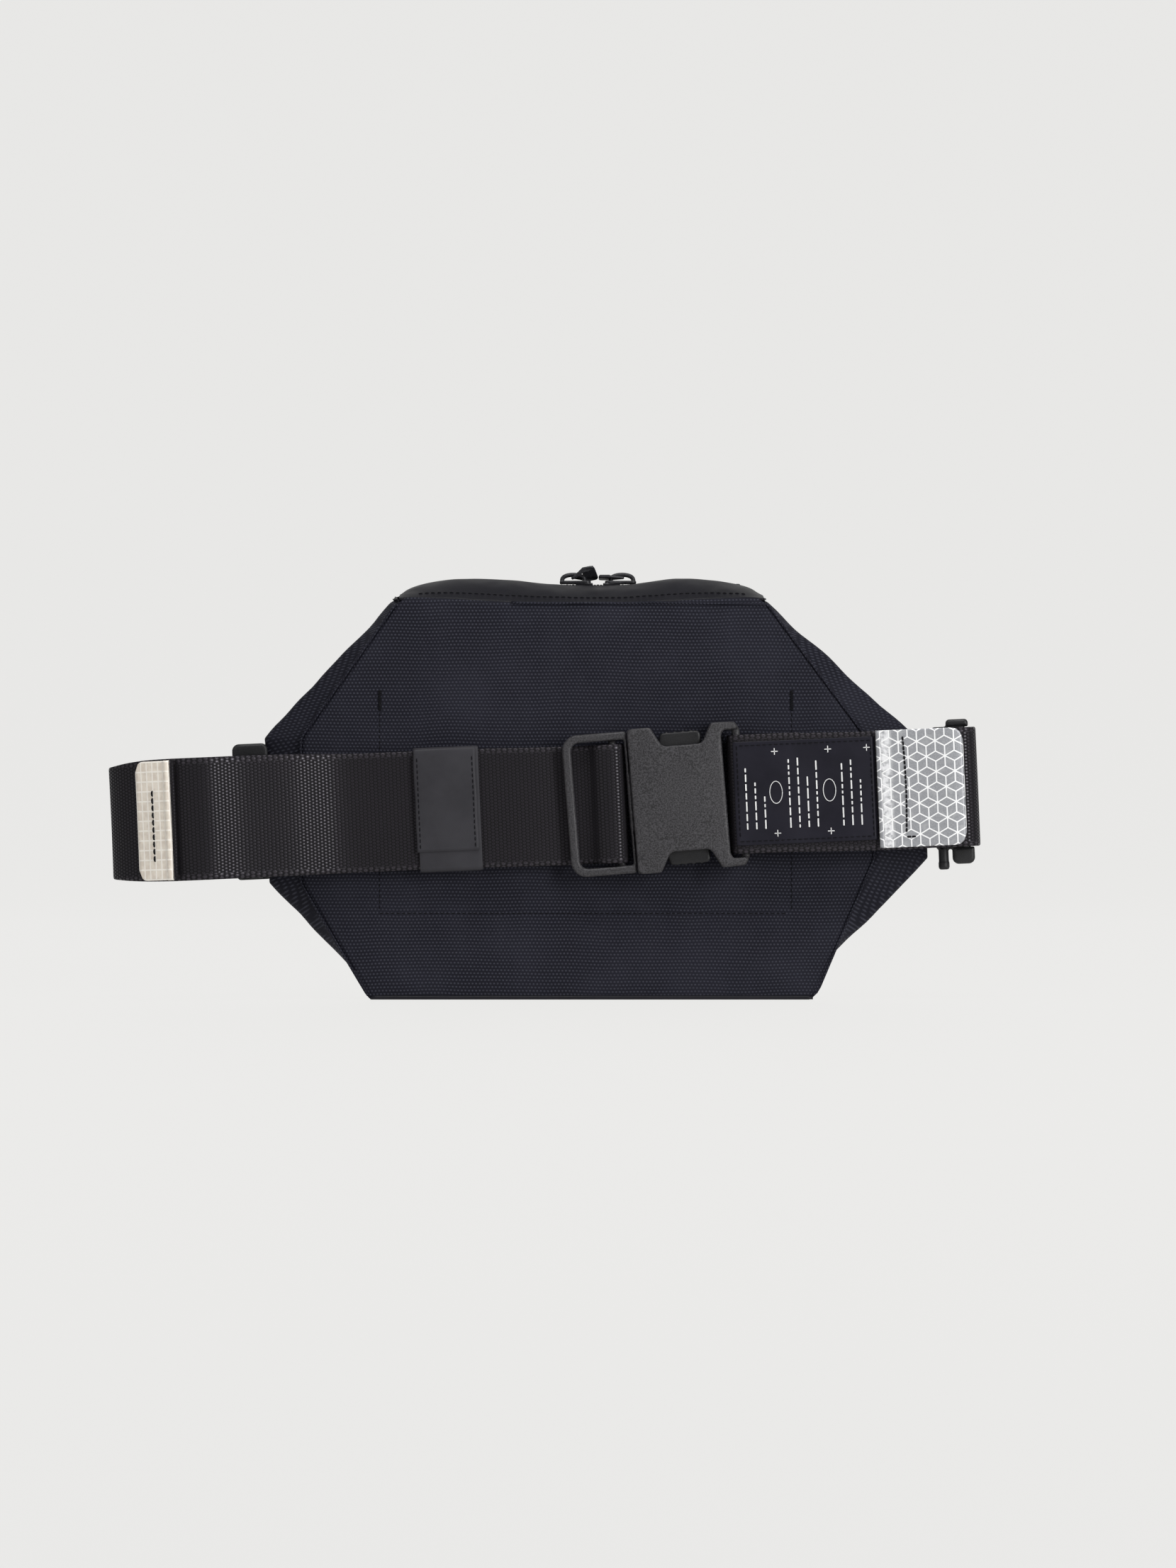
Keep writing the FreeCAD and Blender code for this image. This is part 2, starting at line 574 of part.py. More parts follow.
def make_male():
    thick = (-MALE_HALF_THICK, MALE_HALF_THICK)
    frame = box(MALE_X, thick, (-MALE_HALF_HEIGHT, MALE_HALF_HEIGHT))
    left_corners = [edge for edge in frame.Edges
                    if abs(edge.tangentAt(edge.FirstParameter).y) > 0.9
                    and edge.CenterOfMass.x < 0]
    frame = frame.makeFillet(MALE_CORNER_R, left_corners)
    window = box((OUTER_BAR_END_X, SHOULDER_X), (-20, 20),
                 (-MALE_WINDOW_HALF, MALE_WINDOW_HALF))
    behind_bar = box((MALE_X[0] - 1, OUTER_BAR_END_X + 1), (OUTER_BAR_BACK_Y, 20),
                     (-MALE_WINDOW_HALF, MALE_WINDOW_HALF))
    inner_bar = box(INNER_BAR_X, INNER_BAR_Y, (-MALE_WINDOW_HALF - 1, MALE_WINDOW_HALF + 1))
    tongue = box((SHOULDER_X, TONGUE_END_X), (-PRONG_HALF_THICK, PRONG_HALF_THICK),
                 (-TONGUE_HALF, TONGUE_HALF))
    root = box((SHOULDER_X, TONGUE_ROOT_X), (-PRONG_HALF_THICK, PRONG_HALF_THICK),
               (-TONGUE_ROOT_HALF, TONGUE_ROOT_HALF))
    return in_buckle(fuse([frame.cut(window).cut(behind_bar), inner_bar, tongue, root]))


def make_prong(side):
    """A springy arm from its root beside the tongue to the thumb pad in the notch."""
    x, z = PRONG_PIVOT
    eye = Part.makeCylinder(PRONG_EYE_R, 2 * PRONG_HALF_THICK,
                            V(x, -PRONG_HALF_THICK, z), V(0, 1, 0))
    arm = plate_xz([(x, z - 1.9), (34.0, 18.6), (48.6, 18.6), (50.0, 20.4), (50.0, 26.6),
                    (48.8, 27.5), (33.4, 27.5), (32.2, 24.6), (x - 0.8, z + 1.8)],
                   (-PRONG_HALF_THICK, PRONG_HALF_THICK))
    prong = fuse([eye, arm])
    if side < 0:
        prong = prong.mirror(V(0, 0, 0), V(0, 0, 1))
    return in_buckle(prong)


def all_parts():
    parts, body = make_body()
    parts.update(make_top_bands())
    parts["inner_pocket"] = make_inner_pocket()
    parts["pocket_bar_tacks"] = make_bar_tacks()
    parts["bottom_piping"] = make_bottom_piping()
    for name, side in (("back", -1), ("front", 1)):
        parts["zip_tape_" + name] = make_tape(side)
        parts["zip_teeth_" + name] = make_teeth(side)
    for index, name in enumerate(("left", "right")):
        parts["zip_stop_" + name] = make_stop(-1 if index == 0 else 1)
        parts["zip_slider_" + name] = make_slider(index)
        parts["zip_pull_" + name] = make_pull(index)
        parts["wing_anchor_" + name] = make_wing_anchor(index, body)
        parts["strap_lock_" + name] = make_lock(index)
    parts.update(make_straps())
    parts["keeper_loop"] = make_keeper()
    parts["buckle_female"] = make_female()
    parts["buckle_male"] = make_male()
    parts["prong_upper"] = make_prong(1)
    parts["prong_lower"] = make_prong(-1)
    return parts


os.makedirs("parts", exist_ok=True)
for node, shape in all_parts().items():
    if not shape.isValid():
        print("not valid:", node)
    box_of = shape.BoundBox
    print(f"{node:22s} solids {len(shape.Solids):3d} volume {shape.Volume:10.1f} "
          f"x {box_of.XMin:7.1f} {box_of.XMax:7.1f} y {box_of.YMin:6.1f} {box_of.YMax:6.1f} "
          f"z {box_of.ZMin:6.1f} {box_of.ZMax:6.1f}")
    shape.exportStep("parts/" + node + ".step")
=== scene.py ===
import json
import math
import random

import bmesh
import bpy
import numpy as np
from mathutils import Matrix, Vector, noise


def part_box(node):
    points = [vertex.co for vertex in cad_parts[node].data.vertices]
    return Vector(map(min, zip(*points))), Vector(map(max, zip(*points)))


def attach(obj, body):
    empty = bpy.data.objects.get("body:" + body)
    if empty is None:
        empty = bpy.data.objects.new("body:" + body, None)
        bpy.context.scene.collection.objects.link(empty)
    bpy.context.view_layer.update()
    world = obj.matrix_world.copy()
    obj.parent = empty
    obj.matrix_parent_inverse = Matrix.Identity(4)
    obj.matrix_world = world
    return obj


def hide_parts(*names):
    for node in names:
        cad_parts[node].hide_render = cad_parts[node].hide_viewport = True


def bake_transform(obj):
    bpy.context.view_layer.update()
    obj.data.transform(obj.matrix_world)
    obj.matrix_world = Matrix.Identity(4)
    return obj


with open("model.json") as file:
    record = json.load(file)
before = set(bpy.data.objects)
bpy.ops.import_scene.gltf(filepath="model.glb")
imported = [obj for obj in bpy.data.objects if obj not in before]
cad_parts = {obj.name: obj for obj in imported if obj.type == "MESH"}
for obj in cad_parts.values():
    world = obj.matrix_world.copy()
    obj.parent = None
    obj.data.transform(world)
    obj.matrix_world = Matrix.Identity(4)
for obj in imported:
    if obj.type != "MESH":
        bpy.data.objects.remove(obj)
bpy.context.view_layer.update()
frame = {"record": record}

# Looks of a hip bag with a closed webbing belt. Shapes are worked out in millimetres in the
# row frame (X along the belt, back panel towards -Y, +Z up) and written to meshes in metres.

MM = 0.001
JOINTS = {joint["name"]: joint for joint in frame["record"]["behaviour"]["joints"]}
MOUNTS = {mount["name"]: mount for mount in frame["record"]["mounts"]}
SIDES = ((0, -1, "left"), (1, 1, "right"))


def node_box(node):
    """Lowest and highest corner of a CAD node, in millimetres."""
    low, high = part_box(node)
    return np.array(low) / MM, np.array(high) / MM


# ---- places that come from the frame ----
BACK, FRONT, LEFT, RIGHT, BAND, FRONT_BAND, TAPE, TEETH, PIPING, POCKET = map(node_box, (
    "back_panel", "front_panel", "side_panel_left", "side_panel_right", "top_band_back",
    "top_band_front", "zip_tape_back", "zip_teeth_back", "bottom_piping", "inner_pocket"))
BACK_Y, TOP_Z = BACK[0][1], BACK[1][2]
FRONT_Y, CREST_Z = FRONT[1][1], BAND[1][2]
TIP_X = (LEFT[0][0], RIGHT[1][0])
BAND_X = (BAND[0][0], BAND[1][0])
FRONT_BAND_X = (FRONT_BAND[0][0], FRONT_BAND[1][0])
WING_Y = -23.0
WING_Z = ((48.6, 109.0), (59.0, 105.0))      # flat edge of the left and right wing
WING_LEAN = 1.8                              # the left wing's edge leans out at its top
BACK_SEAM_X = (-119.0, 120.5)
FRONT_SEAM_X = (-96.0, 98.0)
BASE_X = {"back": (PIPING[0][0] - 0.6, PIPING[1][0] + 0.6), "wing": (-85.5, 86.0),
          "front": (-82.0, 82.0)}
TOP_X = {"back": BAND_X, "wing": (-81.0, 75.5), "front": (-69.0, 67.0)}
ZIP_MIDDLE_Z = (TEETH[0][2] + TEETH[1][2]) / 2
MOUTH_MIDDLE = 5.0                           # the sliders meet here

BELT_AXIS = -Vector(JOINTS["keeper_slide"]["axis"]).normalized()
BELT_UP = Vector((-BELT_AXIS.z, 0, BELT_AXIS.x))
BELT_ORIGIN = Vector((0, 0, MOUNTS["waist_belt"]["pos_m"][2] / MM))
BUCKLE_AXIS = -Vector(JOINTS["buckle_release"]["axis"]).normalized()
BUCKLE_UP = Vector((-BUCKLE_AXIS.z, 0, BUCKLE_AXIS.x))
PRONG_X = 21.5                               # the prongs' pivots, in the buckle's frame
BUCKLE_ORIGIN = sum((Vector(JOINTS[name]["pos_m"]) / MM / 2 for name in (
    "prong_press_upper", "prong_press_lower")), Vector()) - BUCKLE_AXIS * PRONG_X

WEB = 1.3                                    # webbing thickness
WEB_HALF = 24.75                             # half of its width
KEEPER_X = (-69.9, -43.9)
LOCK_Y = -23.0
LOCK_X = (-140.0, 153.0)                     # middle bar of each lock, along the belt
OUT = Vector((0, -1, 0))                     # away from the back panel
UP = Vector((0, 0, 1))


def on_belt(x, y, z):
    """Belt frame (along, depth, across) to the row frame."""
    return BELT_ORIGIN + BELT_AXIS * x + BELT_UP * z + Vector((0, y, 0))


def in_buckle(x, y, z):
    """Buckle frame (along, depth, across) to the row frame."""
    return BUCKLE_ORIGIN + BUCKLE_AXIS * x + BUCKLE_UP * z + Vector((0, y, 0))


def plain(x, y, z):
    return Vector((x, y, z))


# ---- mesh helpers ----
def smoothstep(value):
    value = min(1.0, max(0.0, value))
    return value * value * (3 - 2 * value)


def shares(count):
    return [k / (count - 1) for k in range(count)]


def settle(piece, body, slot, *nodes):
    """Attach a piece to the body it moves with and hide the CAD nodes it stands for; the colour
    slot is not used.
    """
    if body:
        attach(piece, body)
    if nodes:
        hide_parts(*nodes)
    return piece


def add_object(name, mesh, material=None):
    piece = bpy.data.objects.new(name, mesh)
    bpy.context.scene.collection.objects.link(piece)
    if material:
        mesh.materials.append(material)
    mesh.polygons.foreach_set("use_smooth", [True] * len(mesh.polygons))
    return piece


def mesh_from(name, points, faces):
    """A mesh from points in millimetres."""
    mesh = bpy.data.meshes.new(name)
    mesh.from_pydata([tuple(c * MM for c in point) for point in points], [], faces)
    mesh.validate()
    return mesh


def fix_normals(mesh):
    work = bmesh.new()
    work.from_mesh(mesh)
    bmesh.ops.recalc_face_normals(work, faces=work.faces)
    work.to_mesh(mesh)
    work.free()


def evaluated_mesh(holder):
    bpy.context.view_layer.update()
    graph = bpy.context.evaluated_depsgraph_get()
    return bpy.data.meshes.new_from_object(holder.evaluated_get(graph))


def apply_modifiers(piece):
    """Replace a piece's mesh by its evaluated mesh and drop its modifiers."""
    mesh, old = evaluated_mesh(piece), piece.data
    piece.modifiers.clear()
    piece.data = mesh
    bpy.data.meshes.remove(old)
    return piece


def shade_by_angle(piece, degrees):
    """Smooth shading with sharp edges where faces meet steeply."""
    work = bmesh.new()
    work.from_mesh(piece.data)
    for edge in work.edges:
        edge.smooth = len(edge.link_faces) == 2 and edge.calc_face_angle(0) < math.radians(degrees)
    work.to_mesh(piece.data)
    work.free()


def grid_faces(rows, columns, wrap_rows=False, wrap_columns=False):
    faces = []
    for row in range(rows if wrap_rows else rows - 1):
        for column in range(columns if wrap_columns else columns - 1):
            right = (column + 1) % columns
            below = (row + 1) % rows
            faces.append((row * columns + column, row * columns + right,
                          below * columns + right, below * columns + column))
    return faces


def closed_tube_faces(rings, sides):
    """Faces of a tube of equal rings, with a cap at both ends."""
    total = rings * sides
    return grid_faces(rings, sides, wrap_columns=True) + [
        tuple(range(sides))[::-1], tuple(range(total - sides, total))]


def join(name, pieces, material=None):
    """Join mesh objects into one object of one material."""
    work = bmesh.new()
    for piece in pieces:
        work.from_mesh(piece.data)
        old = piece.data
        bpy.data.objects.remove(piece)
        bpy.data.meshes.remove(old)
    mesh = bpy.data.meshes.new(name)
    work.to_mesh(mesh)
    work.free()
    for polygon in mesh.polygons:
        polygon.material_index = 0
    return add_object(name, mesh, material)


def run_lengths(path):
    """Distance of each point of a path from its first point."""
    lengths = [0.0]
    for before, after in zip(path, path[1:]):
        lengths.append(lengths[-1] + (after - before).length)
    return lengths


def point_at(path, lengths, distance):
    """The point of a path at a distance from its first point."""
    for index in range(len(path) - 1):
        if lengths[index + 1] >= distance:
            span = max(lengths[index + 1] - lengths[index], 1e-9)
            return path[index].lerp(path[index + 1], (distance - lengths[index]) / span)
    return path[-1]


def smooth_path(points, step):
    """Even points along a centripetal curve that passes through every given point."""
    points = [Vector(point) for point in points]
    ends = [points[0] * 2 - points[1]] + points + [points[-1] * 2 - points[-2]]
    dense = []
    for index in range(1, len(ends) - 2):
        p0, p1, p2, p3 = ends[index - 1:index + 3]
        t1 = max((p1 - p0).length, 1e-6) ** 0.5
        t2 = t1 + max((p2 - p1).length, 1e-6) ** 0.5
        t3 = t2 + max((p3 - p2).length, 1e-6) ** 0.5
        for part in range(24):
            t = t1 + (t2 - t1) * part / 24
            a1 = p0 * ((t1 - t) / t1) + p1 * (t / t1)
            a2 = p1 * ((t2 - t) / (t2 - t1)) + p2 * ((t - t1) / (t2 - t1))
            a3 = p2 * ((t3 - t) / (t3 - t2)) + p3 * ((t - t2) / (t3 - t2))
            b1 = a1 * ((t2 - t) / t2) + a2 * (t / t2)
            b2 = a2 * ((t3 - t) / (t3 - t1)) + a3 * ((t - t1) / (t3 - t1))
            dense.append(b1 * ((t2 - t) / (t2 - t1)) + b2 * ((t - t1) / (t2 - t1)))
    dense.append(points[-1])
    lengths = run_lengths(dense)
    count = max(2, round(lengths[-1] / step))
    return [point_at(dense, lengths, lengths[-1] * number / count) for number in range(count + 1)]


def rounded(corners, segments=6):
    """A closed outline of (x, z, radius) corners as points, each corner an arc."""
    result = []
    for index, (x, z, radius) in enumerate(corners):
        point = Vector((x, z))
        before = Vector(corners[index - 1][:2]) - point
        after = Vector(corners[(index + 1) % len(corners)][:2]) - point
        half = before.angle(after) / 2
        reach = min(radius / math.tan(half), 0.49 * before.length, 0.49 * after.length)
        radius = reach * math.tan(half)
        before, after = before.normalized(), after.normalized()
        start, end = point + before * reach, point + after * reach
        centre = point + (before + after).normalized() * (radius / math.sin(half))
        for share in shares(segments + 1):
            direction = (start - centre).lerp(end - centre, share).normalized()
            result.append(tuple(centre + direction * radius))
    return result


def box_outline(x0, z0, x1, z1, radius, segments=6):
    corners = ((x0, z0), (x1, z0), (x1, z1), (x0, z1))
    return rounded([(*corner, radius) for corner in corners], segments)


def moulded_plate(outlines, depth, bevel, place, shift=0.0, name="plate"):
    """A flat plate with rounded edges: outlines are (x, z) loops, the first one outermost."""
    curve = bpy.data.curves.new(name, "CURVE")
    curve.dimensions = "2D"
    curve.fill_mode = "BOTH"
    curve.extrude = (depth / 2 - bevel) * MM
    curve.bevel_depth = bevel * MM
    curve.bevel_resolution = 3
    curve.offset = -bevel * MM
    for outline in outlines:
        spline = curve.splines.new("POLY")
        spline.points.add(len(outline) - 1)
        for point, (x, z) in zip(spline.points, outline):
            point.co = (x * MM, z * MM, 0, 1)
        spline.use_cyclic_u = True
    holder = bpy.data.objects.new(name, curve)
    bpy.context.scene.collection.objects.link(holder)
    mesh = evaluated_mesh(holder)
    bpy.data.objects.remove(holder)
    bpy.data.curves.remove(curve)
    for vertex in mesh.vertices:
        x, z, y = vertex.co / MM
        vertex.co = place(x, y + shift, z) * MM
    mesh.materials.clear()
    fix_normals(mesh)
    return add_object(name, mesh)


def tube(points, radius, sides=10, place=plain, squash=1.0, name="tube", material=None):
    """A closed round bar along points given in millimetres."""
    points = [place(*point) for point in points]
    vertices, normal = [], None
    for index, point in enumerate(points):
        ahead = points[min(index + 1, len(points) - 1)] - points[max(index - 1, 0)]
        ahead.normalize()
        normal = normal or ahead.orthogonal().normalized()
        normal = (normal - ahead * normal.dot(ahead)).normalized()
        side = ahead.cross(normal)
        size = radius(index / (len(points) - 1)) if callable(radius) else radius
        vertices += [point + (normal * math.cos(a) + side * squash * math.sin(a)) * size
                     for a in (2 * math.pi * k / sides for k in range(sides))]
    mesh = mesh_from(name, vertices, closed_tube_faces(len(points), sides))
    fix_normals(mesh)
    return add_object(name, mesh, material)


def voxel_union(pieces, name, voxel, smoothing, material):
    """Fuse overlapping moulded pieces into one skin with soft inner corners."""
    piece = join(name, pieces, material)
    remesh = piece.modifiers.new("fuse", "REMESH")
    remesh.mode = "VOXEL"
    remesh.voxel_size = voxel * MM
    soften = piece.modifiers.new("soften", "SMOOTH")
    soften.factor = 0.5
    soften.iterations = smoothing
    apply_modifiers(piece)
    piece.data.materials.clear()
    piece.data.materials.append(material)
    piece.data.polygons.foreach_set("use_smooth", [True] * len(piece.data.polygons))
    return piece


# ---- materials ----
class Value:
    """A number inside a shader, so that sums can be written out plainly."""

    def __init__(self, tree, socket):
        self.tree, self.socket = tree, socket

    def __add__(self, other):
        return reckon("ADD", self, other)

    def __sub__(self, other):
        return reckon("SUBTRACT", self, other)

    def __rsub__(self, other):
        return reckon("SUBTRACT", other, self)

    def __mul__(self, other):
        return reckon("MULTIPLY", self, other)

    def __truediv__(self, other):
        return reckon("DIVIDE", self, other)

    def __abs__(self):
        return reckon("ABSOLUTE", self)


def put(tree, socket, value):
    """Link a value to a socket, or write a constant to it."""
    if isinstance(value, Value):
        tree.links.new(value.socket, socket)
    else:
        socket.default_value = (*value, 1.0) if isinstance(value, tuple) else value


def reckon(operation, *values):
    tree = next(value.tree for value in values if isinstance(value, Value))
    made = tree.nodes.new("ShaderNodeMath")
    made.operation = operation
    for index, value in enumerate(values):
        put(tree, made.inputs[index], value)
    return Value(tree, made.outputs[0])


def sine(value):
    return reckon("SINE", value)


def off_centre(value):
    """Distance of a running value from the middle of its unit cell."""
    return abs(reckon("FRACT", value) - 0.5)


class Nodes:
    """Short calls for building a shader out of nodes."""

    def __init__(self, name):
        self.material = bpy.data.materials.new(name)
        self.material.use_nodes = True
        self.tree = self.material.node_tree

    def node(self, kind, output, inputs, **settings):
        made = self.tree.nodes.new(kind)
        for key, value in settings.items():
            setattr(made, key, value)
        for key, value in inputs.items():
            put(self.tree, made.inputs[key], value)
        return Value(self.tree, made.outputs[output])

    def split(self, vector):
        return [self.node("ShaderNodeSeparateXYZ", axis, {"Vector": vector}) for axis in range(3)]

    def noise(self, vector, scale, detail=3.0, roughness=0.5):
        return self.node("ShaderNodeTexNoise", "Fac", {
            "Vector": vector, "Scale": scale, "Detail": detail, "Roughness": roughness})

    def ramp(self, value, low, high, start=0.0, end=1.0):
        return self.node("ShaderNodeMapRange", "Result", {
            "Value": value, "From Min": low, "From Max": high, "To Min": start, "To Max": end},
            interpolation_type="SMOOTHSTEP")

    def mix(self, share, first, second):
        return self.node("ShaderNodeMix", 2, {0: share, 6: first, 7: second}, data_type="RGBA")

    def finish(self, color, rough, bump=None, **constants):
        """Close the shader; bump is (height, strength, distance in millimetres)."""
        shader = self.tree.nodes["Principled BSDF"]
        values = {"Base Color": color, "Roughness": rough}
        if bump:
            values["Normal"] = self.node("ShaderNodeBump", "Normal", {
                "Height": bump[0], "Strength": bump[1], "Distance": bump[2] * MM})
        for key, value in {**values, **constants}.items():
            put(self.tree, shader.inputs[key.replace("_", " ")], value)
        return self.material

    def place_mm(self):
        """Object coordinates in millimetres, as a vector and as separate values."""
        vector = self.node("ShaderNodeVectorMath", 0, {
            0: self.node("ShaderNodeTexCoord", "Object", {}), "Scale": 1 / MM}, operation="SCALE")
        return vector, *self.split(vector)

    def lay_mm(self):
        """UV coordinates of a strap in millimetres: a vector, then along and across."""
        vector = self.node("ShaderNodeUVMap", 0, {}, uv_map="lay")
        return vector, *self.split(vector)[:2]

    def dots(self, along, across, pitch_along, pitch_across, width, height):
        """Rows of soft oval dots, every second row shifted by half a pitch: 1 on a dot."""
        odd = reckon("MODULO", abs(reckon("FLOOR", along / pitch_along)), 2.0)
        u = off_centre(along / pitch_along) / width
        v = off_centre(across / pitch_across + odd * 0.5) / height
        return self.ramp(reckon("SQRT", u * u + v * v), 0.25, 1.0, 1.0, 0.0)


def webbing_material():
    """Heavy belt webbing: staggered thread humps, with lumpier ones along its edges."""
    n = Nodes("webbing")
    vector, along, across = n.lay_mm()
    where = n.place_mm()[0]
    along = along + (n.noise(vector, 0.35) - 0.5) * 0.35
    fuzz = n.noise(where, 6.0, 2.0)
    tone = n.mix(n.ramp(n.noise(where, 0.06, 4.0), 0.35, 0.7), (0.0008, 0.0007, 0.0009),
                 (0.0017, 0.0014, 0.0018))
    high = n.mix(n.ramp(fuzz, 0.3, 0.8), (0.0074, 0.0063, 0.0086), (0.0188, 0.0165, 0.0212))
    edge = n.ramp(abs(across), 22.4, 23.2)
    dot = n.dots(along, across, 1.6, 1.35, 0.52, 0.46) * (1.0 - edge) \
        + n.dots(along, across, 2.3, 1.5, 0.5, 0.6) * edge
    color = n.mix(dot * 0.9, tone, high)
    color = n.mix(edge * (dot * 0.35), color, (0.05, 0.044, 0.052))
    height = dot * n.ramp(edge, 0.0, 1.0, 0.9, 2.2) + fuzz * 0.18
    rough = n.mix(dot, (0.85, 0.85, 0.85), (0.27, 0.27, 0.27))
    return n.finish(color, rough, (height, 0.24, 0.2), Specular_IOR_Level=0.3,
                    Specular_Tint=(0.96, 0.92, 1.0))


def woven_material(name, gain, turn=0.0):
    """Bag cloth: fine rows of small dots on navy charcoal, turned on the wings."""
    n = Nodes(name)
    where, x, y, z = n.place_mm()
    up = z + (n.noise(where, 0.02, 2.0) - 0.5) * 3.0 + y * turn
    along = (abs(x) * -1.0 if turn else x) + y * (1.6 * turn)
    dot = n.dots(up, along, 1.42, 1.5, 0.4, 0.44)
    fine = n.noise(where, 3.5, 2.0)

    def tone(*color):
        return tuple(gain * c for c in color)

    ground = n.mix(n.ramp(n.noise(where, 0.03, 4.0, 0.6), 0.35, 0.7),
                   tone(0.006, 0.006, 0.0094), tone(0.0095, 0.0095, 0.0142))
    light = n.mix(n.ramp(fine, 0.3, 0.75), tone(0.022, 0.0224, 0.031), tone(0.044, 0.0455, 0.059))
    return n.finish(n.mix(dot * 0.75, ground, light), n.ramp(fine, 0.2, 0.8, 0.55, 0.75),
                    (dot + fine * 0.3, 0.75, 0.22), Specular_IOR_Level=0.08)


def coated_material(name, dark, light, rough_low, rough_high):
    """Smooth coated cloth: faint cloth grain, scuffs and uneven gloss."""
    n = Nodes(name)
    where, x, y, z = n.place_mm()
    patch = n.noise(where, 0.035, 5.0, 0.6)
    weave = sine((x + y) * 6.0) * sine(z * 6.0)
    scuff = n.ramp(n.noise(where, 0.4, 6.0, 0.7), 0.6, 0.78)
    color = n.mix(scuff * 0.1, n.mix(n.ramp(patch, 0.3, 0.7), dark, light), (0.04, 0.04, 0.043))
    return n.finish(color, n.ramp(patch, 0.3, 0.7, rough_low, rough_high),
                    (weave * 0.12 + n.noise(where, 2.6) * 0.6, 0.4, 0.12),
                    Specular_IOR_Level=0.13)


def moulded_material(name, dark, light, rough_low, rough_high, grain_size=2.4):
    """Moulded plastic or a coated casting with a fine spark-eroded grain."""
    n = Nodes(name)
    where = n.place_mm()[0]
    grain = n.noise(where, grain_size, 4.0, 0.65)
    nick = n.ramp(n.noise(where, 0.7, 6.0, 0.75), 0.62, 0.75)
    color = n.mix(nick * 0.2, n.mix(n.ramp(grain, 0.35, 0.65), dark, light),
                  tuple(3.2 * c for c in light))
    rough = n.ramp(n.noise(where, 0.08), 0.3, 0.7, rough_low, rough_high)
    return n.finish(color, rough, (grain, 0.5, 0.09), Specular_IOR_Level=0.3)


def cream_tape_material():
    """Cream reflective tape: a pale grid of cells over fine glass beads."""
    n = Nodes("reflective_cream")
    vector, along, across = n.lay_mm()
    grid = reckon("MAXIMUM", *(
        n.ramp(off_centre(value / pitch) * pitch, pitch / 2 - 0.42, pitch / 2 - 0.2)
        for value, pitch in ((along, 3.1), (across, 4.05))))
    speck = n.noise(vector, 3.0)
    color = n.mix(n.ramp(n.noise(vector, 0.3, 2.0), 0.35, 0.65), (0.68, 0.6, 0.51),
                  (0.8, 0.73, 0.63))
    color = n.mix(speck * 0.3, color, (0.86, 0.8, 0.7))
    color = n.mix(grid * 0.75, color, (0.97, 0.93, 0.86))
    return n.finish(color, n.ramp(speck, 0.2, 0.8, 0.35, 0.5), (speck + grid, 0.5, 0.1),
                    Specular_IOR_Level=0.5)


def silver_tape_material():
    """Silver reflective tape with a plain pattern of stacked rhombs in white lines, and a painted
    highlight near its folded end.
    """
    n = Nodes("reflective_silver")
    vector, along, across = n.lay_mm()
    width, height, rise = 3.83, 6.4, 2.13
    u, v = along / width, across / height
    row = reckon("FLOOR", v + 0.5)
    odd = reckon("MODULO", abs(row), 2.0)
    fold = abs(reckon("MODULO", u + odd + 100.0, 2.0) - 1.0)
    edge = abs(v - row) * height - (1.0 - fold) * rise
    slanted = n.ramp(abs(edge), 0.2, 0.37, 1.0, 0.0)
    upright = n.ramp(off_centre(u + 0.5) * width, 0.16, 0.33, 1.0, 0.0) * n.ramp(edge, -0.3, 0.1)
    lines = reckon("MAXIMUM", slanted, upright)
    speck = n.noise(vector, 1.6)
    color = n.mix(n.ramp(speck, 0.3, 0.7), (0.235, 0.24, 0.255), (0.3, 0.306, 0.32))
    color = n.mix(n.ramp(n.noise(vector, 0.22), 0.5, 0.75), color, (0.34, 0.345, 0.355))
    # painted highlight: a pale streak near the tab's folded end stands for the light the bent tape
    # catches there
    painted_highlight = n.ramp(along, 29.0, 31.5) * n.ramp(along, 33.6, 35.2, 1.0, 0.45) \
        * n.ramp(n.noise(vector, 0.5), 0.25, 0.6)
    color = n.mix(painted_highlight * 0.75, color, (0.86, 0.86, 0.87))
    color = n.mix(lines, color, (0.82, 0.82, 0.82))
    return n.finish(color, n.ramp(speck, 0.2, 0.8, 0.3, 0.45), (lines * 0.6 + speck, 0.35, 0.08),
                    Metallic=0.2, Specular_IOR_Level=0.5)


def thread_material():
    """Twisted sewing thread."""
    n = Nodes("thread")
    where, x, _, z = n.place_mm()
    share = n.ramp(sine((x + z) * 16.0), -1.0, 1.0)
    color = n.mix(share, (0.002, 0.002, 0.003), (0.0065, 0.0065, 0.0085))
    return n.finish(color, n.ramp(n.noise(where, 2.0), 0.3, 0.7, 0.5, 0.7), (share, 0.6, 0.08),
                    Specular_IOR_Level=0.1)


def label_material():
    """Black label cloth: smooth satin with a very fine rib."""
    n = Nodes("label_cloth")
    vector, _, across = n.lay_mm()
    fine = n.noise(vector, 2.2)
    color = n.mix(n.ramp(n.noise(vector, 0.05), 0.3, 0.7), (0.0078, 0.0074, 0.0122),
                  (0.0122, 0.0116, 0.0182))
    return n.finish(color, n.ramp(fine, 0.2, 0.8, 0.4, 0.52),
                    (sine(across * 14.0) * 0.25 + fine, 0.35, 0.06), Specular_IOR_Level=0.14)


def zip_tape_material():
    """Zip tape: a tight fine herringbone."""
    n = Nodes("zip_tape")
    where, x, y, _ = n.place_mm()
    share = n.ramp(sine((x + off_centre(y / 1.8) * 1.6) * 9.0), -0.6, 0.8)
    color = n.mix(share, (0.008, 0.008, 0.009), (0.022, 0.022, 0.024))
    return n.finish(color, n.ramp(n.noise(where, 1.5), 0.3, 0.7, 0.6, 0.75), (share, 0.6, 0.12),
                    Specular_IOR_Level=0.3)


